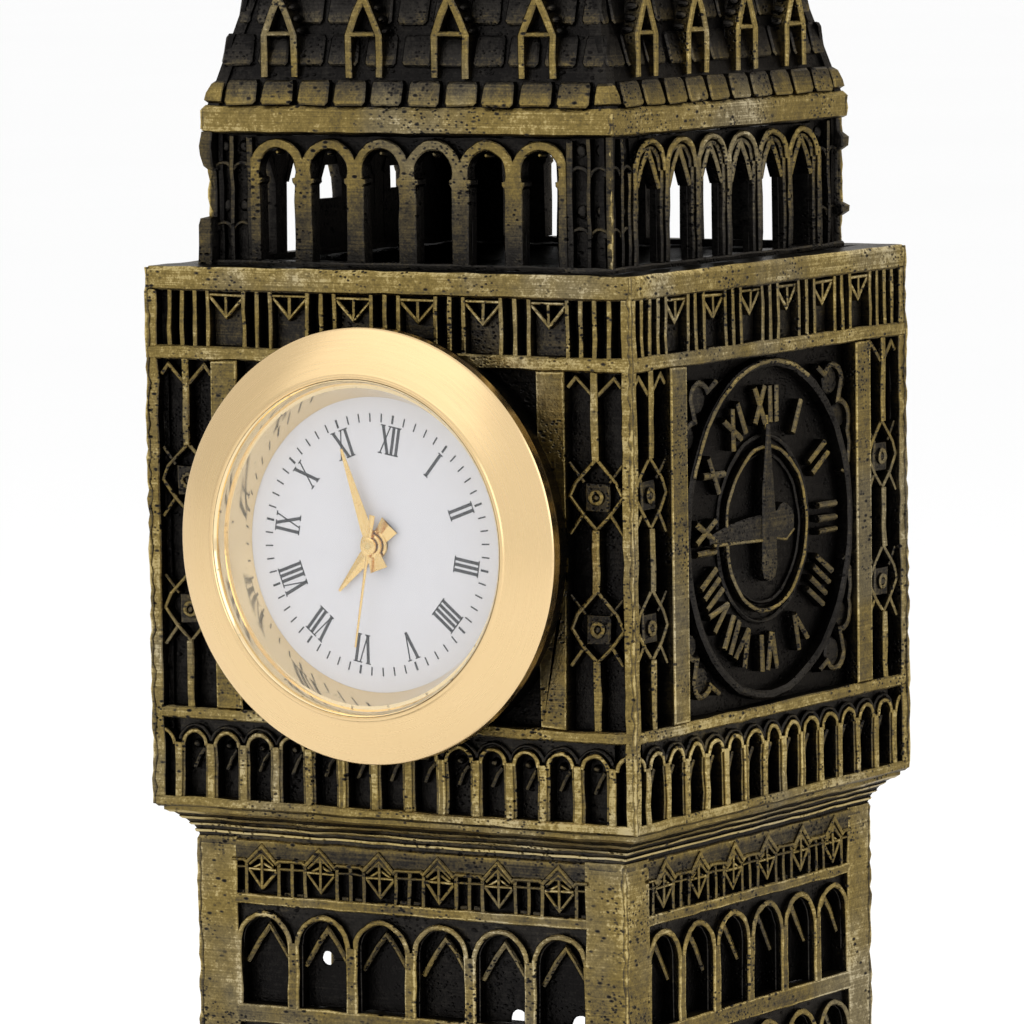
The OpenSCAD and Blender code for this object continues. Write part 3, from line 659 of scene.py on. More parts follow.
def stage_side(with_clock):
    side = Casting()
    lift = (lambda u, z: max(z, -0.5 + math.sqrt(max(0, 17.1 ** 2 - u * u)))
            if with_clock and abs(u) < 17.1 else z)
    # ledge, bands and rim
    side.band([(BACK, 19.9), (FACE - 0.2, 19.9), (FACE, 20.1), (FACE, 21.6),
               (FACE - 0.25, 21.9), (FACE - 0.6, 21.92), (BACK, 21.9)],
              [0, 0.5, 0.95, 1, 1.05, 0.25, 0.1])
    side.band([(BACK, -23.6), (FACE - 0.3, -23.6), (FACE, -23.35), (FACE, -22.85),
               (FACE - 0.12, -22.7), (BACK, -22.7)], [0, 0.5, 1, 1, 0.9, 0])
    for low, high in ((14.1, 15.3), (-16.1, -15.1)):
        section = [(ROOT, low), (FACE - 0.15, low), (FACE, low + 0.15),
                   (FACE, high - 0.15), (FACE - 0.15, high), (ROOT, high)]
        side.band(section, [0, 0.6, 1, 1, 0.75, 0], bore_half if with_clock else None)
    side.post([(22.45, ROOT), (22.45, FACE - 0.17), (22.57, FACE - 0.05),
               (FACE - 0.05, FACE - 0.05), (ROOT, ROOT)], -22.75, 19.95,
              [0, 0.6, 1, 1, 0])
    # frieze of bars and chevrons
    for c in (-15.62, -9.37, -3.12, 3.12, 9.37, 15.62):
        low = lift(c, 15.25)
        if low < 17.4:
            side.prism([(c - 1.55, max(low, lift(c - 1.55, 15.25))),
                        (c + 1.55, max(low, lift(c + 1.55, 15.25))),
                        (c + 1.55, 19.3), (c, 17.7), (c - 1.55, 19.3)],
                       ROOT, FLOOR + 0.45, 0.08, 0.42)
        for u in (c - 1.8, c + 1.8):
            side.block(u, 0.19, lift(u, 15.2), 19.95, ROOT, FACE - 0.15, 0.08, 0.92)
        side.bar(both(c, (1.7, 19.6)), 0.28, ROOT, FACE - 0.3, 0.07)
        side.bar(both(c, (1.62, 19.4), (0, 17.75)), 0.30, ROOT,
                 FACE - 0.35, 0.08)
        side.block(c, 0.14, 17.9, 19.5, ROOT, FACE - 0.3, 0.06, 0.9)
    for u in (-21.3, -20.0, -18.7, -12.5, -6.25, 0, 6.25, 12.5, 18.7, 20.0, 21.3):
        side.block(u, 0.21, lift(u, 15.2), 19.95, ROOT, FACE - 0.15, 0.09, 0.92)
    # arcade under the clock
    for i in range(-6, 7):
        c = 3.25 * i
        hole = arc(c, -18.3, 1.3, 180, 0, 12)
        side.cell(c - 1.625, c + 1.625, -18.3, -16.0, hole, (c, -18.31), FLOOR + 0.62,
                  ROOT, 0.35, 0.05)
        side.disc_ring(c, -18.3, 1.0, 1.36, ROOT, FACE - 0.18, 0.09, 1, 14, (180, 0))
        side.disc_ring(c, -18.3, 1.5, 1.8, FLOOR, FACE - 0.35, 0.1, 0.38, 14, (165, 15))
        for u in (c - 1.18, c + 1.18):
            side.block(u, 0.15, -22.75, -18.25, ROOT, FACE - 0.3, 0.07, 0.75)
        side.bar([(c - 0.4, -20.3), (c + 0.1, -19.2), (c + 0.6, -18.6)], 0.36, ROOT,
                 FLOOR + 0.6, 0.12, wear_and_sheen=0.55)
        side.bead(c - 0.25, -18.3, FLOOR, 0.4, 0.6, 0.5)
    for i in range(-7, 7):
        c = 3.25 * (i + 0.5)
        side.block(c, 0.36, -22.75, -18.1, ROOT, FACE - 0.12, 0.11)
    for sign in (-1, 1):
        side.disc_ring(sign * 22.75, -18.3, 1.0, 1.36, ROOT, FACE - 0.2, 0.09, 1, 7,
                       (180, 100) if sign > 0 else (80, 0))
    for c in (-19.8, 19.8):
        tracery(c, side)
    # pilasters beside the field
    for sign in (-1, 1):
        poly = [(sign * 14.5, -15.1), (sign * 17.1, -15.1), (sign * 17.1, 14.1),
                (sign * 14.5, 14.1)]
        if with_clock:
            for part in ([(u, min(z, CENTRE_Z)) for u, z in poly],
                         [(u, max(z, CENTRE_Z)) for u, z in poly]):
                side.prism(outside(part, 0, CENTRE_Z, COLLAR_R - 0.2), ROOT, FACE, 0.12)
        else:
            side.prism(poly, ROOT, FACE, 0.12)
    if with_clock:
        bored_wall(side)
    else:
        side.band([(BACK, -23.5), (FLOOR, -23.5), (FLOOR, 21.8), (BACK, 21.8)], [0, 0.05, 0.05, 0])
        cast_dial(side)
    return side


def bored_wall(side):
    """The wall behind the insert clock: a mitred plate with a hole, and a collar round it."""
    steps = 96
    rings = []
    for i in range(steps):
        a = 2 * math.pi * (i + 0.5) / steps
        c, s = math.cos(a), math.sin(a)
        reach = min(FLOOR / max(1e-9, abs(c)),
                    ((21.8 + 0.5) if s > 0 else (23.5 - 0.5)) / max(1e-9, abs(s)))
        u, z = reach * c, reach * s - 0.5
        back = u * BACK / FLOOR
        rings.append([(u, FLOOR, z), (COLLAR_R * c, FLOOR, COLLAR_R * s - 0.5),
                      (COLLAR_R * c, FACE + 2.08, COLLAR_R * s - 0.5),
                      (17.15 * c, FACE + 2.2, 17.15 * s - 0.5),
                      (16.75 * c, FACE + 2.2, 16.75 * s - 0.5),
                      (BORE_R * c, FACE + 2.05, BORE_R * s - 0.5),
                      (BORE_R * c, BACK, BORE_R * s - 0.5), (back, BACK, z)])
    for corner_u in (-FLOOR, FLOOR):
        for corner_z in (21.8, -23.5):
            best = min(range(steps), key=lambda i: math.hypot(
                rings[i][0][0] - corner_u, rings[i][0][2] - corner_z))
            rings[best][0] = (corner_u, FLOOR, corner_z)
            rings[best][7] = (corner_u * BACK / FLOOR, BACK, corner_z)
    side.loft(rings, [[0.1, 0.1, 0.7, 1, 1, 0.5, 0.2, 0]] * steps, closed=True, tube=False)


NUMERALS = ("XII", "I", "II", "III", "IIII", "V", "VI", "VII", "VIII", "IX", "X", "XI")


def numeral_strokes(text, height, wide):
    """The strokes of a Roman numeral as (kind, end, end) about its middle. The kind is its
    letter, or / for the thin stroke of a V or an X."""
    advance = {"I": wide, "V": 2.1 * wide, "X": 2.1 * wide}
    strokes, x = [], -sum(advance[ch] for ch in text) / 2
    for ch in text:
        middle, half = x + advance[ch] / 2, 0.78 * wide
        if ch == "I":
            strokes.append((ch, (middle, -height / 2), (middle, height / 2)))
        elif ch == "V":
            strokes.append(("V", (middle - half, height / 2), (middle, -height / 2)))
            strokes.append(("/", (middle + half, height / 2), (middle, -height / 2)))
        else:
            strokes.append(("X", (middle - half, height / 2), (middle + half, -height / 2)))
            strokes.append(("/", (middle + half, height / 2), (middle - half, -height / 2)))
        x += advance[ch]
    return strokes


def about(u, z, turn, radius, x, y):
    """A point x to the right of and y above a numeral's middle, which is turned clockwise."""
    s, c = math.sin(turn), math.cos(turn)
    return (u + (radius + y) * s + x * c, z + (radius + y) * c - x * s)


def cast_dial(side):
    u, z = 0.0, CENTRE_Z
    side.disc_ring(u, z, 13.55, 14.3, ROOT, FACE - 0.25, 0.2, 0.3, 64)
    # A raised arc over the top of the rim at a level of 0.95: a painted highlight where the top of
    # the rim catches the light.
    side.disc_ring(u, z, 13.8, 14.2, FACE - 0.6, FACE - 0.14, 0.12, 0.95, 30, (158, 62))
    side.disc_ring(u, z, 6.7, 7.05, ROOT, FLOOR + 0.75, 0.12, 0.85, 48)
    side.disc_ring(u, z, 6.1, 6.4, ROOT, FLOOR + 0.3, 0.1, 0.25, 48)
    side.disc_ring(u, z, 7.55, 7.95, ROOT, FLOOR + 0.35, 0.14, 0.3, 48)
    for hour, text in enumerate(NUMERALS):
        turn = math.radians(30 * hour)
        for _, *ends in numeral_strokes(text, 3.1, 1.02 if len(text) > 3 else 1.1):
            side.bar([about(u, z, turn, 10.35, *end) for end in ends], 0.56, ROOT,
                     FLOOR + 0.85, 0.17, wear_and_sheen=0.76)
    # fixed hands at nine o'clock
    minute = both(0, (0.2, 8.7), (0.55, 5.6), (0.95, 3.2), (1.15, 0.4), (1.2, -3.2),
                  (0.85, -4.1), (0, -4.45))
    side.prism([(u + a, z + b) for a, b in minute], ROOT, FLOOR + 0.95, 0.16, 0.5)
    hour = ([(-9.8, 0.1), (-6.6, 0.8), (-3.2, 1.15), (0.5, 1.3)]
            + arc(2.9, 0.35, 1.65, 140, -110, 10) + [(-9.7, -0.6)])
    side.prism([(u + a, z + b) for a, b in hour], ROOT, FLOOR + 0.82, 0.16, 0.46)
    side.bar([(u - 9.5, z - 0.62), (u - 1.3, z - 0.85)], 0.26, FLOOR, FLOOR + 1.0, 0.08)
    side.bar([(u + 1.3, z - 0.95), (u + 3.0, z - 1.2), (u + 4.3, z - 0.4)], 0.22, FLOOR,
             FLOOR + 0.9, 0.07, wear_and_sheen=0.8)
    side.bar([(u, z + 7.0), (u, z + 9.4)], 0.42, ROOT, FLOOR + 0.8, 0.12)
    # leaf scrolls in the corners
    for su in (-1, 1):
        for sz in (-1, 1):
            curl = ([(12.9, 3.6), (13.9, 4.6), (14.2, 6.2)] + arc(12.4, 8.1, 1.7, -30, 95, 6)
                    + arc(11.4, 11.4, 1.55, 10, 150, 7) + [(8.7, 12.9)])
            side.bar([(u + su * a, z + sz * b) for a, b in curl], 0.5, ROOT,
                     FLOOR + 0.95, 0.16, wear_and_sheen=0.62)
            for a, b, r, high in ((13.0, 8.6, 1.15, 0.5), (11.3, 11.6, 1.25, 0.58),
                                  (13.5, 11.4, 0.95, 0.42)):
                side.prism(arc(u + su * a, z + sz * b, r, 0, 330, 11), FLOOR - 0.05, FLOOR + high,
                           0.16, 0.42)


for turn, label in enumerate(SIDES):
    casting = stage_side(label == "front")
    obj = make_mesh(f"stage_{label}_cast", casting, side_place(turn), rough=0.14)
    finish_piece(obj, BRASS, "tower", "antique_brass", f"stage_{label}_panel")

# ---------------------------------------------------------------- shaft

SHAFT_BACK = SHAFT_R - 3
BAY = 5.8
ROW = 10.1
ROWS = 8


def web(side, c, sill, spring, depth, tear):
    """The thin skin of metal left behind a window. tear says what is missing from it: "foot"
    for a bite at the sill, "hole" for a round hole, "" for nothing."""
    top = spring + 2.3
    foot = [(c - 2.4, sill), (c + 2.4, sill)]
    if tear == "foot":
        foot = ([(c - 2.4, sill)] + arc(c + 1.0, sill + 0.15, 0.95, 185, -5, 9)
                + [(c + 2.4, sill)])
    head = [(c + 2.4, top), (c - 2.4, top)]
    if tear == "hole":
        head = ([(c + 2.4, spring - 1.05)] + arc(c - 0.4, spring - 1.0, 0.62, -5, -355, 14)
                + [(c + 2.4, spring - 0.95)] + head)
    side.prism(foot + head, depth - 0.25, depth, 0.06, 0.02)


def shaft_side(label):
    side = Casting()
    r = SHAFT_R
    # The cornice's ridges are rubbed bright, and their levels of 1.35 and 1.2 add a painted
    # highlight; the troughs are painted lighter on the front and back than on the two sides, a
    # painted difference of light between the faces.
    trough = 0.45 if label in ("front", "back") else 0.12
    section, shades = [(BACK, -23.6), (r + 2.0, -23.6), (r + 2.0, -24.0)], [0, 0.8, 0.9]
    for k in range(4):
        for share, sink, wear_and_sheen in ((0.0, 0.0, 1.35), (0.3, 0.0, 1.2), (0.42, 0.15, trough),
                                  (0.86, 0.15, trough)):
            t = (k + share) / 4
            section.append((r + 1.9 * (1 - t) ** 1.8 - sink, -24.05 - 2.35 * t))
            shades.append(wear_and_sheen)
    side.band(section + [(r, -26.5), (r, -26.95), (SHAFT_BACK, -26.95)], shades + [0.9, 0.6, 0])
    side.rect(-17.3, 17.3, -28.0, -26.5, SHAFT_BACK, r - 0.03, 0.05, 0.62)
    side.rect(-17.3, 17.3, -31.9, -31.0, SHAFT_BACK, r - 0.02, 0.1)
    corner = [(17.0, r - 1), (17.0, r - 0.1), (17.1, r), (17.4, r), (19.0, r), (r - 0.7, r),
              (r - 0.35, r), (r - 0.07, r - 0.07), (r - 1.6, r - 1.6)]
    side.post(corner, SHAFT_FOOT + 3, -26.3, [0, 0.7, 1.05, 0.95, 0.92, 0.95, 1.05, 1.0, 0])
    # frieze of small gables
    side.band([(SHAFT_BACK, -31.1), (r - 0.9, -31.1), (r - 0.9, -27.9), (SHAFT_BACK, -27.9)],
              [0, 0.05, 0.05, 0])
    for i in range(6):
        c = (i - 2.5) * 5.8
        side.bar(both(c, (2.9, -28.1), (1.75, -28.1), (1.45, -28.3), (0, -26.85)), 0.34,
                 r - 1, r + 0.18, 0.11, wear_and_sheen=0.85)
        side.bar([(c - 2.9, -28.75), (c - 1.5, -28.75)], 0.24, r - 1, r - 0.05, 0.07, wear_and_sheen=0.75)
        side.bar([(c + 1.5, -28.75), (c + 2.9, -28.75)], 0.24, r - 1, r - 0.05, 0.07, wear_and_sheen=0.75)
        side.bar(both(c, (1.2, -28.5), (0, -27.5)), 0.26, r - 1, r + 0.02, 0.07,
                 wear_and_sheen=0.8)
        side.bar([(c, -27.6), (c, -30.4)], 0.26, r - 1, r - 0.02, 0.08, wear_and_sheen=0.85)
        side.bar(both(c, (1.35, -28.9)), 0.26, r - 1, r - 0.1, 0.07)
        side.bar(both(c, (1.35, -29.0), (0, -30.5)), 0.28, r - 1, r - 0.1, 0.08, wear_and_sheen=0.85)
        side.bar(both(c, (1.3, -29.0), (0, -28.3)), 0.26, r - 1, r - 0.2, 0.07)
        for u in (-2.9, -1.6, 1.6):
            side.block(c + u, 0.17, -31.05, -28.3, r - 1, r - 0.08, 0.07, 0.75)
        side.block(c + 2.9, 0.17, -31.05, -28.3, r - 1, r - 0.1, 0.07, 0.75)
        for u in (-2.25, 2.25):
            side.block(c + u, 0.3, -31.05, -30.7, r - 1, r - 0.35, 0.06, 0.5)
    # rows of arched windows
    for row in range(ROWS):
        drop = -ROW * row
        spring, sill, head = -35.2 + drop, -40.4 + drop, -31.9 + drop
        floor = -41.95 + drop if row < ROWS - 1 else SHAFT_FOOT + 3
        side.rect(-17.3, 17.3, floor, sill, SHAFT_BACK, r - 0.02, 0.1)
        for i in range(6):
            c = (i - 2.5) * BAY
            side.cell(c - 2.9, c + 2.9, sill, head + 0.05, arch(c, 2.25, sill, spring, 16),
                      (c, spring), r - 0.6, r - 1.9, 0.3, 0.06)
            side.disc_ring(c, spring, 2.3, 2.78, r - 0.8, r - 0.03, 0.12, 0.95, 20, (180, 0))
            side.bar(both(c, (2.25, spring - 1.7), (0.9, spring + 0.35), (0, spring + 1.5)),
                     0.5, r - 1.85, r - 0.95, 0.16, wear_and_sheen=0.78)
            if label in ("front", "right"):
                tear = {(0, 1): "hole", (0, 4): "foot", (0, 5): "foot"}.get((row, i), "")
                if row and (3 * row + 2 * i) % 7 == 0:
                    tear = "foot"
                web(side, c, sill, spring, r - 1.6, tear if label == "front" else "")
        for i in range(-2, 3):
            c = i * BAY
            side.block(c, 0.56, sill - 0.05, spring + 0.2, r - 0.7, r, 0.14)
        for sign in (-1, 1):
            side.rect(sign * 17.0 - 0.25 - 0.2 * (sign < 0), sign * 17.0 + 0.25 + 0.2 * (sign > 0),
                      sill - 0.05, spring + 0.2, r - 0.7, r - 0.01, 0.12)
    foot = SHAFT_FOOT
    side.band([(SHAFT_BACK, foot), (r + 1.4, foot), (r + 1.4, foot + 1.4), (r + 1.2, foot + 1.7),
               (r + 0.9, foot + 1.9), (r + 0.9, foot + 2.3), (r + 0.3, foot + 3.4),
               (r, foot + 4), (SHAFT_BACK, foot + 4)], [0, 0.5, 1, 1, 0.4, 0.9, 0.6, 0.8, 0])
    return side


for turn, label in enumerate(SIDES):
    obj = make_mesh(f"shaft_{label}_cast", shaft_side(label), side_place(turn), rough=0.14)
    finish_piece(obj, BRASS, "tower", "antique_brass", f"shaft_{label}_panel")

# ---------------------------------------------------------------- belfry

BELFRY_BACK = BELFRY_R - 1.35
BAY_SILL, BAY_HEAD = 22.3, 32.7


def fade_down(z):
    """Belfry columns are rubbed bright at the head and stay black at the foot."""
    return 0.36 + 0.54 * min(1.0, max(0.0, (z - 22.5) / 7.5))


def keyhole(c, pitch, side, r):
    """A round-headed bay whose ring and columns make one flat face."""
    jamb = [(1.72, BAY_SILL), (1.72, 28.6), (1.5, 28.85), (1.5, 29.2)]
    hole = ([(c - u, z) for u, z in jamb] + arc(c, 29.85, 1.85, 198, -18, 20)
            + [(c + u, z) for u, z in jamb[::-1]])
    side.cell(c - pitch / 2, c + pitch / 2, BAY_SILL, BAY_HEAD, hole, (c, 29.85), r - 0.75,
              BELFRY_BACK, 0.1, 0.04)
    rings, shades = [], []
    half = pitch / 2 + 0.02
    insides = [(c - 1.72, z) for z in (BAY_SILL, 24.0, 25.7, 27.4, 28.6)]
    insides += [(c - 1.5, z) for z in (28.85, 29.0, 29.2)]
    outsides = [(c - half, z) for u, z in insides]
    mirrored = slice(len(insides) - 1, None, -1)
    insides += arc(c, 29.85, 1.85, 198, -18, 20)
    outsides += [(max(c - half, min(c + half, u)), z)
                 for u, z in arc(c, 29.85, 2.72, 190, -10, 20)]
    insides += [(2 * c - u, z) for u, z in insides[mirrored]]
    outsides += [(2 * c - u, z) for u, z in outsides[mirrored]]
    for (ui, zi), (uo, zo) in zip(insides, outsides):
        d = Vector((uo - ui, zo - zi)).normalized() * 0.12
        flat = abs(abs(uo - c) - half) < 0.03  # where two bays meet without a step
        rings.append([(ui, r - 0.9, zi), (ui, r - 0.13, zi), (ui + d.x, r - 0.02, zi + d.y),
                      (uo - d.x, r - (0.02 if flat else 0.04), zo - d.y),
                      (uo, r - (0.02 if flat else 0.16), zo), (uo, r - 0.9, zo)])
        w = fade_down(zi)
        shades.append([0, 0.8 * w, w, w, w if flat else 0.7 * w, 0])
    side.loft(rings, shades)
    side.bead(c, 31.35, r - 1.1, 0.32, 1.0, 0.9)


def lancet(c, pitch, side, r):
    """A bay with two rings and a pointed arch inside them."""
    side.cell(c - pitch / 2, c + pitch / 2, BAY_SILL, BAY_HEAD,
              arch(c, 1.75, BAY_SILL, 29.9, 16), (c, 29.9), r - 0.7, BELFRY_BACK, 0.1, 0.04)
    side.disc_ring(c, 29.9, 2.12, 2.66, r - 0.8, r - 0.05, 0.15, 0.95, 20, (180, 0))
    side.disc_ring(c, 29.9, 1.66, 2.06, r - 0.9, r - 0.32, 0.11, 0.75, 18, (180, 0))
    side.bar(both(c, (1.78, 28.4), (0.95, 30.2), (0, 31.6)), 0.5, r - 1.45, r - 0.3, 0.15,
             wear_and_sheen=0.85)


def belfry_side(label):
    side = Casting()
    r = BELFRY_R
    round_heads = label in ("front", "back")
    pitch = 5.1 if round_heads else 5.18
    side.band([(BELFRY_BACK - 0.9, 32.6), (EAVE_R - 0.25, 32.9), (EAVE_R, 33.1), (EAVE_R, 34.85),
               (EAVE_R - 0.25, 35.2), (BELFRY_BACK - 0.9, 35.2)], [0, 0.4, 1, 1, 0.9, 0.3])
    side.band([(BELFRY_BACK, 21.85), (r + 0.05, 21.85), (r + 0.05, 22.15), (r - 0.05, 22.3),
               (BELFRY_BACK, 22.3)], [0, 0.3, 0.35, 0.3, 0.1])
    for i in range(6):
        (keyhole if round_heads else lancet)((i - 2.5) * pitch, pitch, side, r)
    for i in range(7):
        c = (i - 3) * pitch
        if not round_heads:
            side.block(c, 0.24, BAY_SILL, 30.6, r - 0.75, r - 0.02, 0.12, fade=fade_down)
            for sign in (-1, 1):
                side.block(c + sign * 0.58, 0.2, BAY_SILL, 29.9, r - 0.9,
                          r - 0.22, 0.12, 0.85, fade=fade_down)
    if label == "left":
        # fillings that leave only the gaps which show through the front arches
        for c, foot, high in ((2.59, BAY_SILL, 26.6), (2.59, 29.5, 31.8),
                              (-2.59, BAY_SILL, 31.4), (-7.77, BAY_SILL, 27.0),
                              (-7.77, 28.9, 31.8), (-12.95, BAY_SILL, 31.8)):
            side.block(c, 1.85, foot, high, BELFRY_BACK, r - 0.8, 0.05, 0.1)
        side.rect(-7.0, -5.9, 26.9, 29.0, BELFRY_BACK, r - 0.8, 0.05, 0.1)
    if label == "back":
        for c, left, right in ((12.75, -1.8, -0.5), (12.75, 0.9, 1.8), (7.65, -1.8, 0.5)):
            side.rect(c + left, c + right, BAY_SILL, 31.5, BELFRY_BACK, r - 0.8, 0.05, 0.1)
    # blank panels beside the arches
    end = 3 * pitch
    for sign in (-1, 1):
        inner, outer = sorted((sign * (end - 0.1), sign * 19.2))
        side.rect(inner, outer, 22.2, 32.8, BELFRY_BACK, r - 0.85, 0.05, 0.12)

        if round_heads:
            edge = sorted((sign * (end - 0.1), sign * (end + 0.5)))
            side.rect(*edge, BAY_SILL, 32.6, r - 0.9, r - 0.1, 0.12, 0.6, fade=fade_down)
        mid = sign * (end + 19.3) / 2
        side.block(mid, 0.18, BAY_SILL, BAY_HEAD, r - 1, r - 0.15, 0.08, 0.65, fade=fade_down)
        for u in (mid - 0.95, mid + 0.95):
            for z in (25.3, 30.3):
                side.disc_ring(u, z - 0.85, 0.8, 1.1, r - 1, r - 0.3, 0.08, 0.45, 10, (165, 15))
                side.bead(u, z + 1.5, r - 0.95, 0.6, 0.45, 0.3)
    # corner posts: narrow, knobbed, and on one corner thick at the foot and flared at the top
    slim = [(21.9, 19.5), (24.5, 19.45), (24.9, 19.95), (25.4, 20.0), (25.8, 19.45), (28.0, 19.4),
            (30.0, 19.42), (30.5, 19.95), (31.3, 20.0), (31.8, 19.5), (33.0, 19.5)]
    stout = [(21.9, 20.25), (23.5, 20.2), (25.2, 20.2), (25.7, 20.1), (25.9, 19.5), (28.0, 19.4),
             (29.6, 19.42), (30.1, 19.85), (31.0, 20.05), (31.8, 20.1), (33.0, 19.9)]
    for sign in (-1, 1):
        levels = stout if (label, sign) in (("front", -1), ("left", 1)) else slim
        if (label, sign) in (("front", 1), ("right", -1)):
            levels = [(21.9, 19.5), (27.0, 19.5), (33.0, 19.55)]
        rings = [[(sign * 18.7, 18.1, z), (sign * 18.95, h - 0.2, z), (sign * 19.1, h, z),
                  (sign * h, h, z), (sign * 18.1, 18.1, z)] for z, h in levels]
        side.loft(rings, [[0, 0.25, 0.5, 0.6, 0]] * len(levels))
    return side


for turn, label in enumerate(SIDES):
    obj = make_mesh(f"belfry_{label}_cast", belfry_side(label), side_place(turn), rough=0.14)
    finish_piece(obj, BRASS, "tower", "antique_brass", f"belfry_{label}_panel")

# ---------------------------------------------------------------- roof

ROOF_R = EAVE_R - 0.6
ROOF_TOP_R = 12.9
SLOPE = (ROOF_R - ROOF_TOP_R) / (ROOF_TOP - ROOF_FOOT)


def roof_w(z):
    return ROOF_R - SLOPE * (z - ROOF_FOOT)


def gable(c, foot, width, shoulder, height):
    return [(c - width / 2, foot), (c + width / 2, foot), (c + width / 2, foot + shoulder),
            (c, foot + height), (c - width / 2, foot + shoulder)]


def dormer(side, c, foot, width, height, front, size=1.0):
    """A small gabled window that stands out of the roof."""
    shoulder = height * 0.47
    side.prism(gable(c, foot, width, shoulder, height), front - 4.2, front - 1.2, 0.05, 0.08)
    half = width / 2 - 0.33 * size
    side.bar(both(c, (half, foot), (half, foot + shoulder * 0.5), (half, foot + shoulder),
                  (half * 0.5, foot + shoulder + (height - shoulder) * 0.46),
                  (0, foot + height - 0.6 * size)), 0.66 * size, front - 3.2, front, 0.15)
    side.bar(both(c, (half, foot + shoulder + 0.15)), 0.42 * size, front - 1.3, front - 0.1, 0.1)
    for sign in (-1, 1):
        for k in range(4):
            share = (k + 0.4) / 4
            side.bead(c + sign * (width / 2 + 0.12 * size) * (1 - share * 0.8),
                      foot + shoulder + (height - shoulder) * share, front - 1.2,
                      0.36 * size, 0.85, 0.55, 8)


def slate(casting, a, b, low, high, thick, foot_wear_and_sheen, head_wear):
    """One slate with rounded corners, brighter along its lower edge: rubbed there, and a painted
    highlight where that edge catches the light.
    """
    nib = 0.3
    poly = [Vector(p) for p in ((a + nib, low), (b - nib, low), (b - 0.05, low + nib),
                                (b - 0.12, high - nib), (b - nib, high), (a + nib, high),
                                (a + 0.12, high - nib), (a + 0.05, low + nib))]
    shade = [foot_wear_and_sheen + (head_wear - foot_wear_and_sheen) * (p.y - low) / (high - low) for p in poly]
    casting.loft([[(p.x, -0.3, p.y) for p in poly], [(p.x, thick - 0.15, p.y) for p in poly],
                  [(p.x, thick, p.y) for p in inset(poly, 0.16)]],
                 [0.0, [0.8 * v for v in shade], shade])


def slates(casting, draw, reach, low, high, wide, tall=2.6, thick=0.36, worn_and_sheen=0.66):
    """Rows of slates up a sloping side, breaking joint from row to row."""
    z, row = low, 0
    while z < high:
        half = reach(z) + 0.15
        u = -half - (wide / 2 if row % 2 else 0)
        while u < half:
            a, b = max(u, -half), min(u + wide - 0.45, half)
            if b - a > 0.8:
                slate(casting, a, b, z, z + tall, thick + draw.uniform(-0.07, 0.07), worn_and_sheen, 0.15)
            u += wide + draw.uniform(-0.15, 0.15)
        z += tall + 0.85
        row += 1


def roof_side(seed):
    draw = random.Random(seed)
    side = Casting()
    side.band([(ROOF_R - 2.2, ROOF_FOOT), (ROOF_R, ROOF_FOOT), (ROOF_TOP_R, ROOF_TOP),
               (ROOF_TOP_R - 2.2, ROOF_TOP)], [0, 0.15, 0.15, 0])
    for i in range(4):
        dormer(side, (i - 1.5) * 8.35 - 0.15, ROOF_FOOT + 2.4, 3.6, 7.3, ROOF_R - 0.1)
    for i in range(3):
        foot = ROOF_FOOT + 13.3
        dormer(side, (i - 1) * 6.12, foot, 2.7, 4.8, roof_w(foot) + 0.25, 0.75)
    tiles = Casting(roof_w)
    # The eaves row's slates are brightest along their lower edges, partly a painted highlight.
    for i in range(10):
        c = 3.58 * (i - 4.5)
        slate(tiles, c - 1.6, c + 1.58, ROOF_FOOT + 0.1, ROOF_FOOT + 2.15,
              0.72 + draw.uniform(-0.05, 0.05), 1.0, 0.6)
    for sign in (-1, 1):
        rings = []
        for z, grow in ((0.1, 0.1), (0.4, 0.58), (1.0, 0.62), (1.8, 0.5), (2.2, 0.1)):
            level = ROOF_FOOT + z
            w = roof_w(level) + grow
            rings.append([(sign * 18.05, 17.5, level), (sign * 18.05, w - 0.15, level),
                          (sign * 18.2, w, level), (sign * w, w, level),
                          (sign * 17.5, 17.5, level)])
        side.loft(rings, [0.2, [0, 0.6, 0.9, 0.9, 0], [0, 0.8, 1, 1, 0], [0, 0.7, 0.9, 0.9, 0],
                          0.1])
    slates(tiles, draw, roof_w, ROOF_FOOT + 3.3, ROOF_TOP - 1.5, 3.5)
    side.add(tiles)
    # ridges down the two hips
    for sign in (-1, 1):
        rings = []
        for z, grow in ((ROOF_FOOT, 0.25), (ROOF_TOP, 0.15)):
            w = roof_w(z)
            rings.append([(sign * (w - 1.0), w - 0.3, z), (sign * (w - 0.9), w + grow, z),
                          (sign * (w + grow), w + grow, z), (sign * (w - 0.6), w - 0.6, z)])
        side.loft(rings, [[0, 0.25, 0.35, 0]] * 2)
    return side


for turn, label in enumerate(SIDES):
    obj = make_mesh(f"roof_{label}_cast", roof_side(turn + 3), side_place(turn), rough=0.13)
    finish_piece(obj, DARK, "tower", "dark_roof", f"roof_{label}_panel")

# ---------------------------------------------------------------- plinth, lantern, spire


def four_sides(name, sides, rough):
    """One piece from the drawings of its four sides."""
    whole = Casting()
    for turn, side in enumerate(sides):
        whole.add(side, side_place(turn))
    return make_mesh(name, whole, lambda p: p, rough=rough)


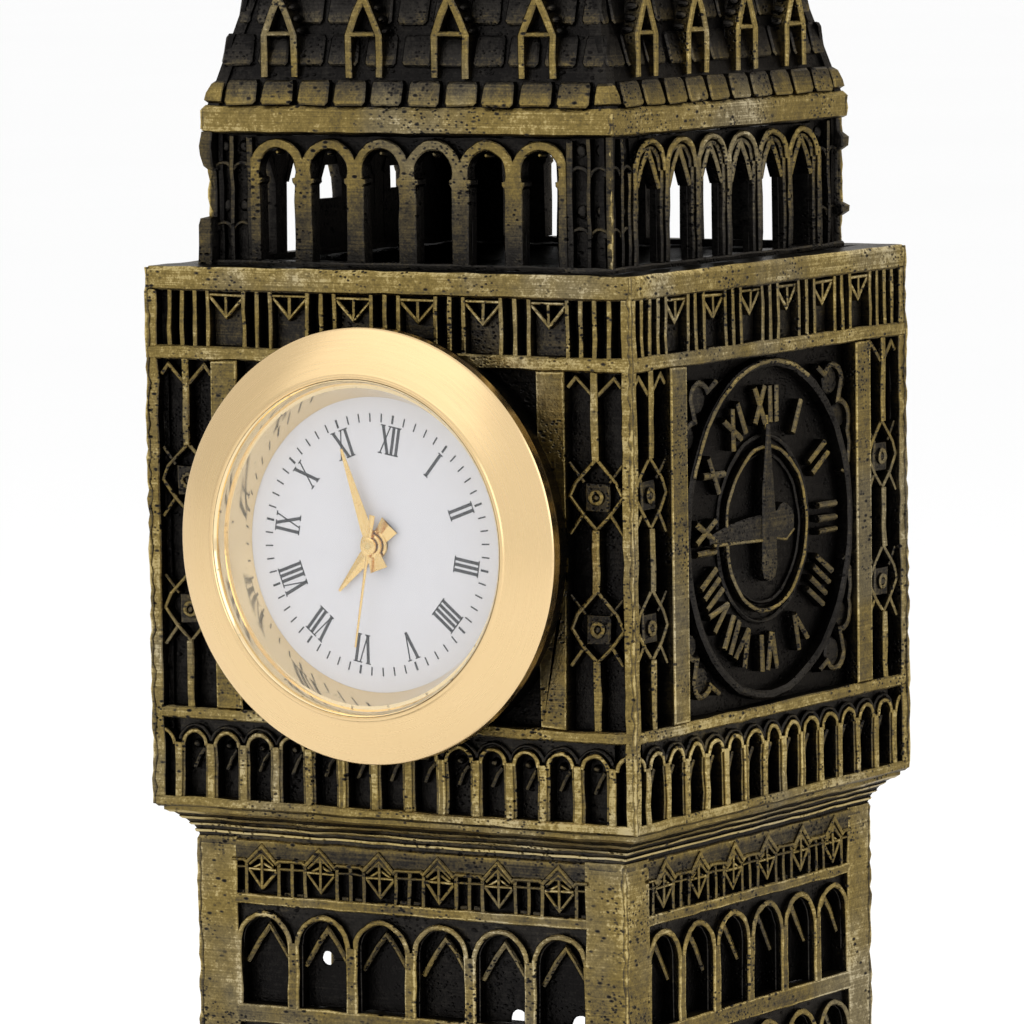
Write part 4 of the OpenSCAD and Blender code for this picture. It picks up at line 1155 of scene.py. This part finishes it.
def plinth_side():
    side = Casting()
    r, foot = half_of("plinth"), foot_of("plinth") - ZERO
    section, shades = [(r - 3, foot), (r - 0.5, foot), (r, foot + 0.3)], [0, 0.3, 0.8]
    for step, (half, top) in enumerate(((r, foot + 5), (r - 2.6, foot + 9.5),
                                        (r - 5, foot + 13.5), (r - 7.4, SHAFT_FOOT))):
        section += [(half, top - 1.1), (half - 0.15, top - 0.95), (half, top - 0.8),
                    (half, top - 0.2), (half - 0.2, top)]
        shades += [0.85, 0.1, 0.9, 1, 1]
        if step < 3:
            section += [(half - 2.3, top - 0.05),
                        (half - (2.4 if step else 2.6), top + 0.2)]
            shades += [0.2, 0.1]
    side.band(section + [(SHAFT_BACK, SHAFT_FOOT)], shades + [0])
    for half, low, high, pitch in ((r - 2.6, foot + 5.35, foot + 8.2, 5.0),
                                   (r - 5, foot + 9.85, foot + 12.2, 4.6)):
        count = int((2 * half - 1) / pitch)
        for i in range(count):
            c = (i - (count - 1) / 2) * pitch
            side.rect(c - pitch / 2 + 0.25, c + pitch / 2 - 0.25, low, high, half - 0.3,
                      half + 0.22, 0.2, 0.75)
    for i in range(8):
        c = (i - 3.5) * 7.4
        if abs(c) + 3 < r - 1:
            side.bar(both(c, (2.8, foot + 0.6), (2.8, foot + 2.4), (0, foot + 3.6)), 0.45,
                     r - 1, r - 0.02, 0.1)
            side.bead(c, foot + 1.7, r - 0.3, 0.7, 0.28, 0.9)
    return side


LANTERN_R = 10.4
LANTERN_FOOT = foot_of("lantern") - ZERO
SPIRE_FOOT = foot_of("spire") - ZERO
FINIAL_FOOT = foot_of("finial") - ZERO


def lantern_side():
    side = Casting()
    r, foot, top = LANTERN_R, LANTERN_FOOT, top_of("lantern") - ZERO
    slab = half_of("lantern")
    side.band([(r - 1.6, foot), (slab - 0.3, foot), (slab, foot + 0.3), (slab, foot + 0.9),
               (slab - 0.3, foot + 1.2), (r - 1.6, foot + 1.2)], [0, 0.4, 1, 1, 0.9, 0.1])
    side.band([(r - 1.6, top - 2.0), (r, top - 2.0), (r + 0.3, top - 1.7), (r + 0.3, top - 1.4),
               (r + 1, top - 1.0), (r + 1, top - 0.3), (r + 0.8, top), (r - 1.6, top)],
              [0, 0.3, 0.9, 0.5, 1, 1, 0.9, 0])
    low, spring = foot + 1.2, top - 4.0
    for i in range(5):
        c = (i - 2) * 3.7
        side.cell(c - 1.85, c + 1.85, low, top - 1.9, arch(c, 1.25, low, spring, 14),
                  (c, spring), r - 0.5, r - 1.6, 0.15, 0.06)
        side.disc_ring(c, spring, 1.3, 1.78, r - 0.6, r - 0.05, 0.12, 0.95, 16, (180, 0))
        side.bar(both(c, (1.2, spring - 0.6), (0, spring + 1.0)), 0.3,
                 r - 1.2, r - 0.4, 0.1, wear_and_sheen=0.6)
    for i in range(6):
        c = (i - 2.5) * 3.7
        side.block(c, 0.42, low, spring + 0.1, r - 0.6, r, 0.12)
    side.post([(9.4, r - 0.6), (9.4, r - 0.1), (9.5, r), (r, r), (r - 0.6, r - 0.6)], low,
              top - 1.9, [0, 0.6, 1, 1, 0])
    return side


def spire_w(z):
    """Distance of the spire's face from the axis: a short skirt, then a long taper."""
    up = z - SPIRE_FOOT
    if up < 4:
        return LANTERN_R + 0.2 - 0.5 * up
    return LANTERN_R - 1.8 - (LANTERN_R - 3.0) * (up - 4) / (FINIAL_FOOT - SPIRE_FOOT - 4)


def spire_side(seed):
    draw = random.Random(seed)
    side = Casting()
    foot, top = SPIRE_FOOT, FINIAL_FOOT
    levels = [foot, foot + 4] + [foot + 4 + (top - foot - 4) * k / 6 for k in range(1, 7)]
    side.band([(0.05, foot)] + [(spire_w(z), z) for z in levels] + [(0.05, top)],
              [0] + [0.2] * len(levels) + [0.2])
    tiles = Casting(spire_w)
    slates(tiles, draw, spire_w, foot + 0.3, top - 2.2, 2.5, 1.7, 0.28, 0.7)
    side.add(tiles)
    dormer(side, 0, foot + 0.9, 4.0, 7.0, LANTERN_R - 0.5, 0.8)
    for sign in (-1, 1):
        rings, shades = [], []
        for z in levels:
            w = spire_w(z)
            rings.append([(sign * (w - 0.55), w - 0.2, z), (sign * (w - 0.45), w + 0.22, z),
                          (sign * (w + 0.22), w + 0.22, z), (sign * (w - 0.5), w - 0.5, z)])
            shades.append([0, 0.8, 1, 0])
        side.loft(rings, shades)
        for k in range(7):
            z = foot + 5 + k * 3.2
            w = spire_w(z)
            side.bead(sign * (w - 0.2), z, w - 0.1, 0.5, 0.7, 1.0, 8)
    return side


obj = four_sides("plinth_cast", [plinth_side() for turn in range(4)], 0.1)
finish_piece(obj, BRASS, "tower", "antique_brass", "plinth")
obj = four_sides("lantern_cast", [lantern_side() for turn in range(4)], 0.12)
finish_piece(obj, BRASS, "tower", "antique_brass", "lantern")
obj = four_sides("spire_cast", [spire_side(turn) for turn in range(4)], 0.14)
finish_piece(obj, DARK, "tower", "dark_roof", "spire")

knob = Casting()
height = top_of("finial") - ZERO - FINIAL_FOOT
outline = ([(0.02, 0), (1.75, 0), (1.8, 0.2), (1.75, 0.5), (1.2, 0.75), (0.95, 1.1), (0.9, 1.9)]
           + [(0.75 + 0.75 * math.cos(math.radians(t)), 3.0 + 0.85 * math.sin(math.radians(t)))
              for t in range(-75, 80, 25)]
           + [(0.72, 4.3), (0.6, 6.2), (0.95, 6.55), (1.05, 6.95), (0.95, 7.35), (0.5, 7.7),
              (0.38, 9.0), (0.25, height), (0.02, height)])
steps = 32
knob.loft([[(r * math.cos(2 * math.pi * k / steps), r * math.sin(2 * math.pi * k / steps),
             FINIAL_FOOT + z) for k in range(steps)] for r, z in outline], [0.8] * len(outline))
obj = make_mesh("finial_turned", knob, side_place(0))
finish_piece(obj, BRASS, "tower", "antique_brass", "finial")

# the floor that shows through the belfry's openings, darkened with painted shade
ground = Casting()
half, low, high = half_of("belfry_floor"), foot_of("belfry_floor") - ZERO, 21.85
rings = []
for j in range(25):
    w = half * (j / 12 - 1)
    lift = [0.25 * noise.noise((i * 0.9, j * 0.9, 1.0)) - 0.2 for i in range(25)]
    rings.append([(-half, w, low)] + [(half * (i / 12 - 1), w, high + lift[i]) for i in range(25)]
                 + [(half, w, low)])
ground.loft(rings, [0.0] * len(rings))
obj = make_mesh("belfry_floor_cast", ground, side_place(0), rough=0.05)
finish_piece(obj, SHADE, "tower", "dark_roof", "belfry_floor")

# ---------------------------------------------------------------- corner seams


def seam(side_u, side_w, seed):
    """The rough line where two cast sides meet, on one corner of every storey."""
    draw = random.Random(seed)
    line = Casting()
    for half, low, high in ((SHAFT_R, SHAFT_FOOT + 4.2, -26.6), (FACE, -23.4, 21.8),
                            (19.5, 22.0, 33.0), (EAVE_R, 33.2, 34.8)):
        count = max(3, round((high - low) / 0.7))
        rings, shades = [], []
        for k in range(count + 1):
            z = low + (high - low) * k / count
            a = 0.12 + 0.32 * draw.random()
            b = 0.12 + 0.32 * draw.random()
            tip = 0.12 * draw.random() - 0.02
            rings.append([(side_u * (half - 0.5), side_w * (half - 0.5), z),
                          (side_u * (half - a), side_w * (half + 0.025), z),
                          (side_u * (half + tip), side_w * (half + tip), z),
                          (side_u * (half + 0.025), side_w * (half - b), z)])
            shades.append([0, 0.55, 0.8 + 0.6 * draw.random(), 0.55])
        line.loft(rings, shades)
    return line


for count, (label, su, sw) in enumerate((("front_right", 1, 1), ("back_right", 1, -1),
                                         ("back_left", -1, -1), ("front_left", -1, 1))):
    obj = make_mesh(f"seam_{label}", seam(su, sw, 40 + count), side_place(0), rough=0.14)
    finish_piece(obj, SEAM, "tower", "antique_brass")

# ---------------------------------------------------------------- insert clock

# The clock's own axes: x right and y up on its dial, and z out of it, in metres.
CLOCK = (Matrix.Translation((0, -FACE * MM, CLOCK_Z * MM)) @ Matrix.Rotation(math.pi / 2, 4, "X")
         @ Matrix.Rotation(-TILT, 4, "Z"))


def in_metres(p):
    return (p[0] * MM, p[1] * MM, p[2] * MM)


def turned(profile, steps, wear_and_sheen=0.5, closed=True):
    """A piece turned on the clock's axis from an outline of (radius, depth)."""
    piece = Casting()
    rings = [[(r * math.cos(2 * math.pi * i / steps), r * math.sin(2 * math.pi * i / steps), s)
              for r, s in profile] for i in range(steps)]
    piece.loft(rings, [wear_and_sheen] * steps, closed=True, tube=closed)
    return piece


def clock_piece(name, piece, material, body, slot, *nodes, smooth=28):
    obj = make_mesh(name, piece, in_metres, smooth)
    obj.matrix_world = CLOCK
    return finish_piece(obj, material, body, slot, *nodes)


bezel = turned([
    (18.0, 2.32), (18.0, 3.22), (17.93, 3.33), (17.82, 3.4), (14.5, 4.78), (14.36, 4.8),
    (14.3, 4.84), (14.2, 4.96), (14.05, 5.0), (13.94, 4.98), (13.88, 4.9), (13.86, 4.7),
    (14.3, 3.6), (14.3, 2.2), (15.5, 2.2), (15.5, 0.96), (16.2, 0.96), (16.2, 2.32)], 256)
clock_piece("bezel_turned", bezel, GOLD, "insert", "gold", "bezel")
wall = turned([(13.84, 4.9), (13.78, 4.88), (13.62, 4.68), (13.5, 4.3), (13.36, 3.76),
                       (13.08, 3.76), (12.9, 3.3), (12.2, 1.53), (13.9, 1.53), (13.9, 2.2),
                       (14.2, 3.6), (13.84, 4.7)], 192,
              [1, 1, 1, 0.9, 0.8, 0.8, 0.7, 0.25, 0.2, 0.2, 0.2, 0.2])
clock_piece("bezel_inner_wall", wall, POLISHED, "insert", "gold")

crystal = turned([(0.0001, 3.79), (13.28, 3.79), (13.56, 4.58), (13.45, 4.66),
                             (12.8, 4.695), (6.0, 4.7), (0.0001, 4.7)], 128, closed=False)
clock_piece("crystal_lens", crystal, GLASS, "insert", "glass", "crystal")

# printed figures and minute track
PRINT_LOW, PRINT_TOP = 1.49, 1.525
FIGURES_R = 8.75
TRACK_R = 10.5


def printed(piece, path, width):
    left, right = edges(path, width, False)
    poly = ccw([tuple(p) for p in left + right[::-1]])
    piece.loft([[(*p, level) for p in poly] for level in (PRINT_LOW, PRINT_TOP)], [0.5, 0.5])


marks = Casting()
for hour, text in enumerate(NUMERALS):
    turn = math.radians(30 * hour)
    for kind, a, b in numeral_strokes(text, 2.3, 0.46 if len(text) > 2 else 0.52):
        printed(marks, [about(0, 0, turn, FIGURES_R, *end) for end in (a, b)],
                0.11 if kind == "/" else 0.27)
        serif = 0.2 if kind == "/" else 0.24
        for x, y in (a,) if text == "V" else (a, b):
            printed(marks, [about(0, 0, turn, FIGURES_R, x - serif, y),
                            about(0, 0, turn, FIGURES_R, x + serif, y)], 0.1)
for tick in range(60):
    turn = math.radians(6 * tick)
    printed(marks, [about(0, 0, turn, TRACK_R, 0, -0.36), about(0, 0, turn, TRACK_R, 0, 0.36)],
            0.12 if tick % 5 else 0.19)
clock_piece("dial_figures", marks, INK, "insert", "dial_white")


def swallow(length, tail, wide):
    """Half outline of a pointed hand with a notched, flared tail."""
    return [(0.0, -0.42 * tail), (wide, -tail), (wide * 0.52, 0.0),
            (wide * 0.62, 1.5), (0.11, length)]


def hand(name, angle, low, high, half_outline, boss, hole, material, body, nodes):
    """A folded metal hand: a raised ridge along its middle, and a round boss."""
    piece = Casting()
    c, s = math.cos(-angle), math.sin(-angle)

    def turned_point(x, y, depth):
        return (x * c - y * s, x * s + y * c, depth)

    for sign in (-1, 1):
        rings = [[turned_point(sign * x, y, low), turned_point(sign * x, y, low + 0.06),
                  turned_point(0, y, high), turned_point(0, y, low)] for x, y in half_outline]
        piece.loft(rings, [0.8] * len(rings))
    piece.add(turned([(hole, low - 0.02), (boss, low - 0.02), (boss, high),
                      (boss - 0.12, high + 0.05), (hole, high + 0.05)], 32, 0.8))
    return clock_piece(name, piece, material, body, "gold", *nodes)


hand("hour_hand_folded", math.radians(212), 1.86, 2.04, swallow(5.2, 2.3, 0.95), 1.25, 0.96,
     HAND_GOLD, "hour", ["hour_hand"])
hand("minute_hand_folded", math.radians(331), 2.3, 2.48, swallow(8.35, 2.1, 0.85), 0.98, 0.61,
     HAND_GOLD, "minute", ["minute_hand"])
hand("seconds_hand_thin", math.radians(180), 2.76, 2.9,
     [(0.26, -2.6), (0.15, -0.6), (0.13, 1.0), (0.075, 8.5)], 0.72, 0.26,
     HAND_GOLD, "seconds", ["seconds_hand"])

# ---------------------------------------------------------------- carried-over CAD pieces

CARRIED = {
    "felt_pad": FELT, "base_plate": STEEL, "base_screws": STEEL,
    "dial": DIAL_WHITE, "clock_case": BLACK, "grip_ring": RUBBER, "back_cover": BLACK,
    "movement_ring": WHITE, "main_plate": WHEEL, "train_bridge": STEEL,
    "movement_screws": STEEL, "battery": STEEL, "battery_strap": STEEL, "coil": COPPER,
    "stator": STEEL, "circuit_board": BOARD, "quartz_can": STEEL, "rotor": STEEL,
    "fifth_wheel": WHEEL, "fourth_wheel": WHEEL, "third_wheel": WHEEL, "centre_wheel": WHEEL,
    "cannon_pinion": WHEEL, "minute_wheel": WHEEL, "hour_wheel": WHEEL,
    "setting_stem": STEEL, "crown": GOLD,
}
for node, material in CARRIED.items():
    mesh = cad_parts[node].data
    mesh.materials.clear()
    mesh.materials.append(material)

# ---------------------------------------------------------------- stage, light and camera

floor_mesh = bpy.data.meshes.new("pale_floor")
reach = 40.0
rows = 8
verts = [(reach * (2 * i / rows - 1), reach * (2 * j / rows - 1), 0.0)
         for j in range(rows + 1) for i in range(rows + 1)]
quads = [(j * (rows + 1) + i, j * (rows + 1) + i + 1, (j + 1) * (rows + 1) + i + 1,
          (j + 1) * (rows + 1) + i) for j in range(rows) for i in range(rows)]
floor_mesh.from_pydata(verts, [], quads)
pale_floor = bpy.data.objects.new("pale_floor", floor_mesh)
bpy.context.scene.collection.objects.link(pale_floor)
paper = Paint("pale_paper")
paper.set(Base_Color=paper.mix(paper.noise(3.0, 2.0), (0.98, 0.98, 0.98), (0.96, 0.96, 0.96)),
          Roughness=0.9)
floor_mesh.materials.append(paper.material)

world = bpy.data.worlds.new("studio")
bpy.context.scene.world = world
world.use_nodes = True
backdrop = world.node_tree.nodes["Background"]
backdrop.inputs["Color"].default_value = (1.0, 1.0, 1.0, 1)
sky = Paint(tree=world.node_tree)
split = sky.tree.nodes.new("ShaderNodeSeparateXYZ")
sky.wire(sky.place, split.inputs[0])
aside = sky.math("ABSOLUTE", sky.math("ADD", sky.math("MULTIPLY", split.outputs[0], 0.855),
                                      sky.math("MULTIPLY", split.outputs[1], 0.518)))
sky.wire(sky.span(aside, 0.55, 0.95, 1.04, 0.80), backdrop.inputs["Strength"])


def soft_light(name, place, aim, size, power, colour=(1, 1, 1)):
    light = bpy.data.lights.new(name, "AREA")
    light.shape = "RECTANGLE"
    light.size, light.size_y = size
    light.energy = power
    light.color = colour
    obj = bpy.data.objects.new(name, light)
    bpy.context.scene.collection.objects.link(obj)
    obj.location = place
    obj.rotation_mode = "QUATERNION"
    obj.rotation_quaternion = (Vector(aim) - Vector(place)).to_track_quat("-Z", "Y")
    return obj


soft_light("key", (-0.35, -0.75, 0.75), (0, 0, 0.13), (0.9, 0.9), 1.5)
soft_light("fill", (0.85, -0.35, 0.45), (0, 0, 0.13), (0.5, 0.7), 1.4)
soft_light("rim", (0.1, 0.6, 0.8), (0, 0, 0.15), (0.8, 0.4), 1.6)

azimuth, elevation, roll = math.radians(31.21), math.radians(5.44), math.radians(-0.785)
back = Vector((math.sin(azimuth) * math.cos(elevation), -math.cos(azimuth) * math.cos(elevation),
               math.sin(elevation)))
right = Vector((math.cos(azimuth), math.sin(azimuth), 0))
up = back.cross(right)
right, up = (math.cos(roll) * right + math.sin(roll) * up,
             -math.sin(roll) * right + math.cos(roll) * up)
lens = bpy.data.cameras.new("photo_camera")
lens.lens = 254.1
lens.sensor_width = 36
lens.clip_start, lens.clip_end = 0.05, 200
camera = bpy.data.objects.new("photo_camera", lens)
bpy.context.scene.collection.objects.link(camera)
camera.matrix_world = Matrix.Translation(
    Vector((0, 0, ZERO * MM)) - 0.001803 * right + 0.6148 * back) @ Matrix(
        (right, up, back)).transposed().to_4x4()
bpy.context.scene.camera = camera
bpy.context.scene.view_settings.view_transform = "Standard"
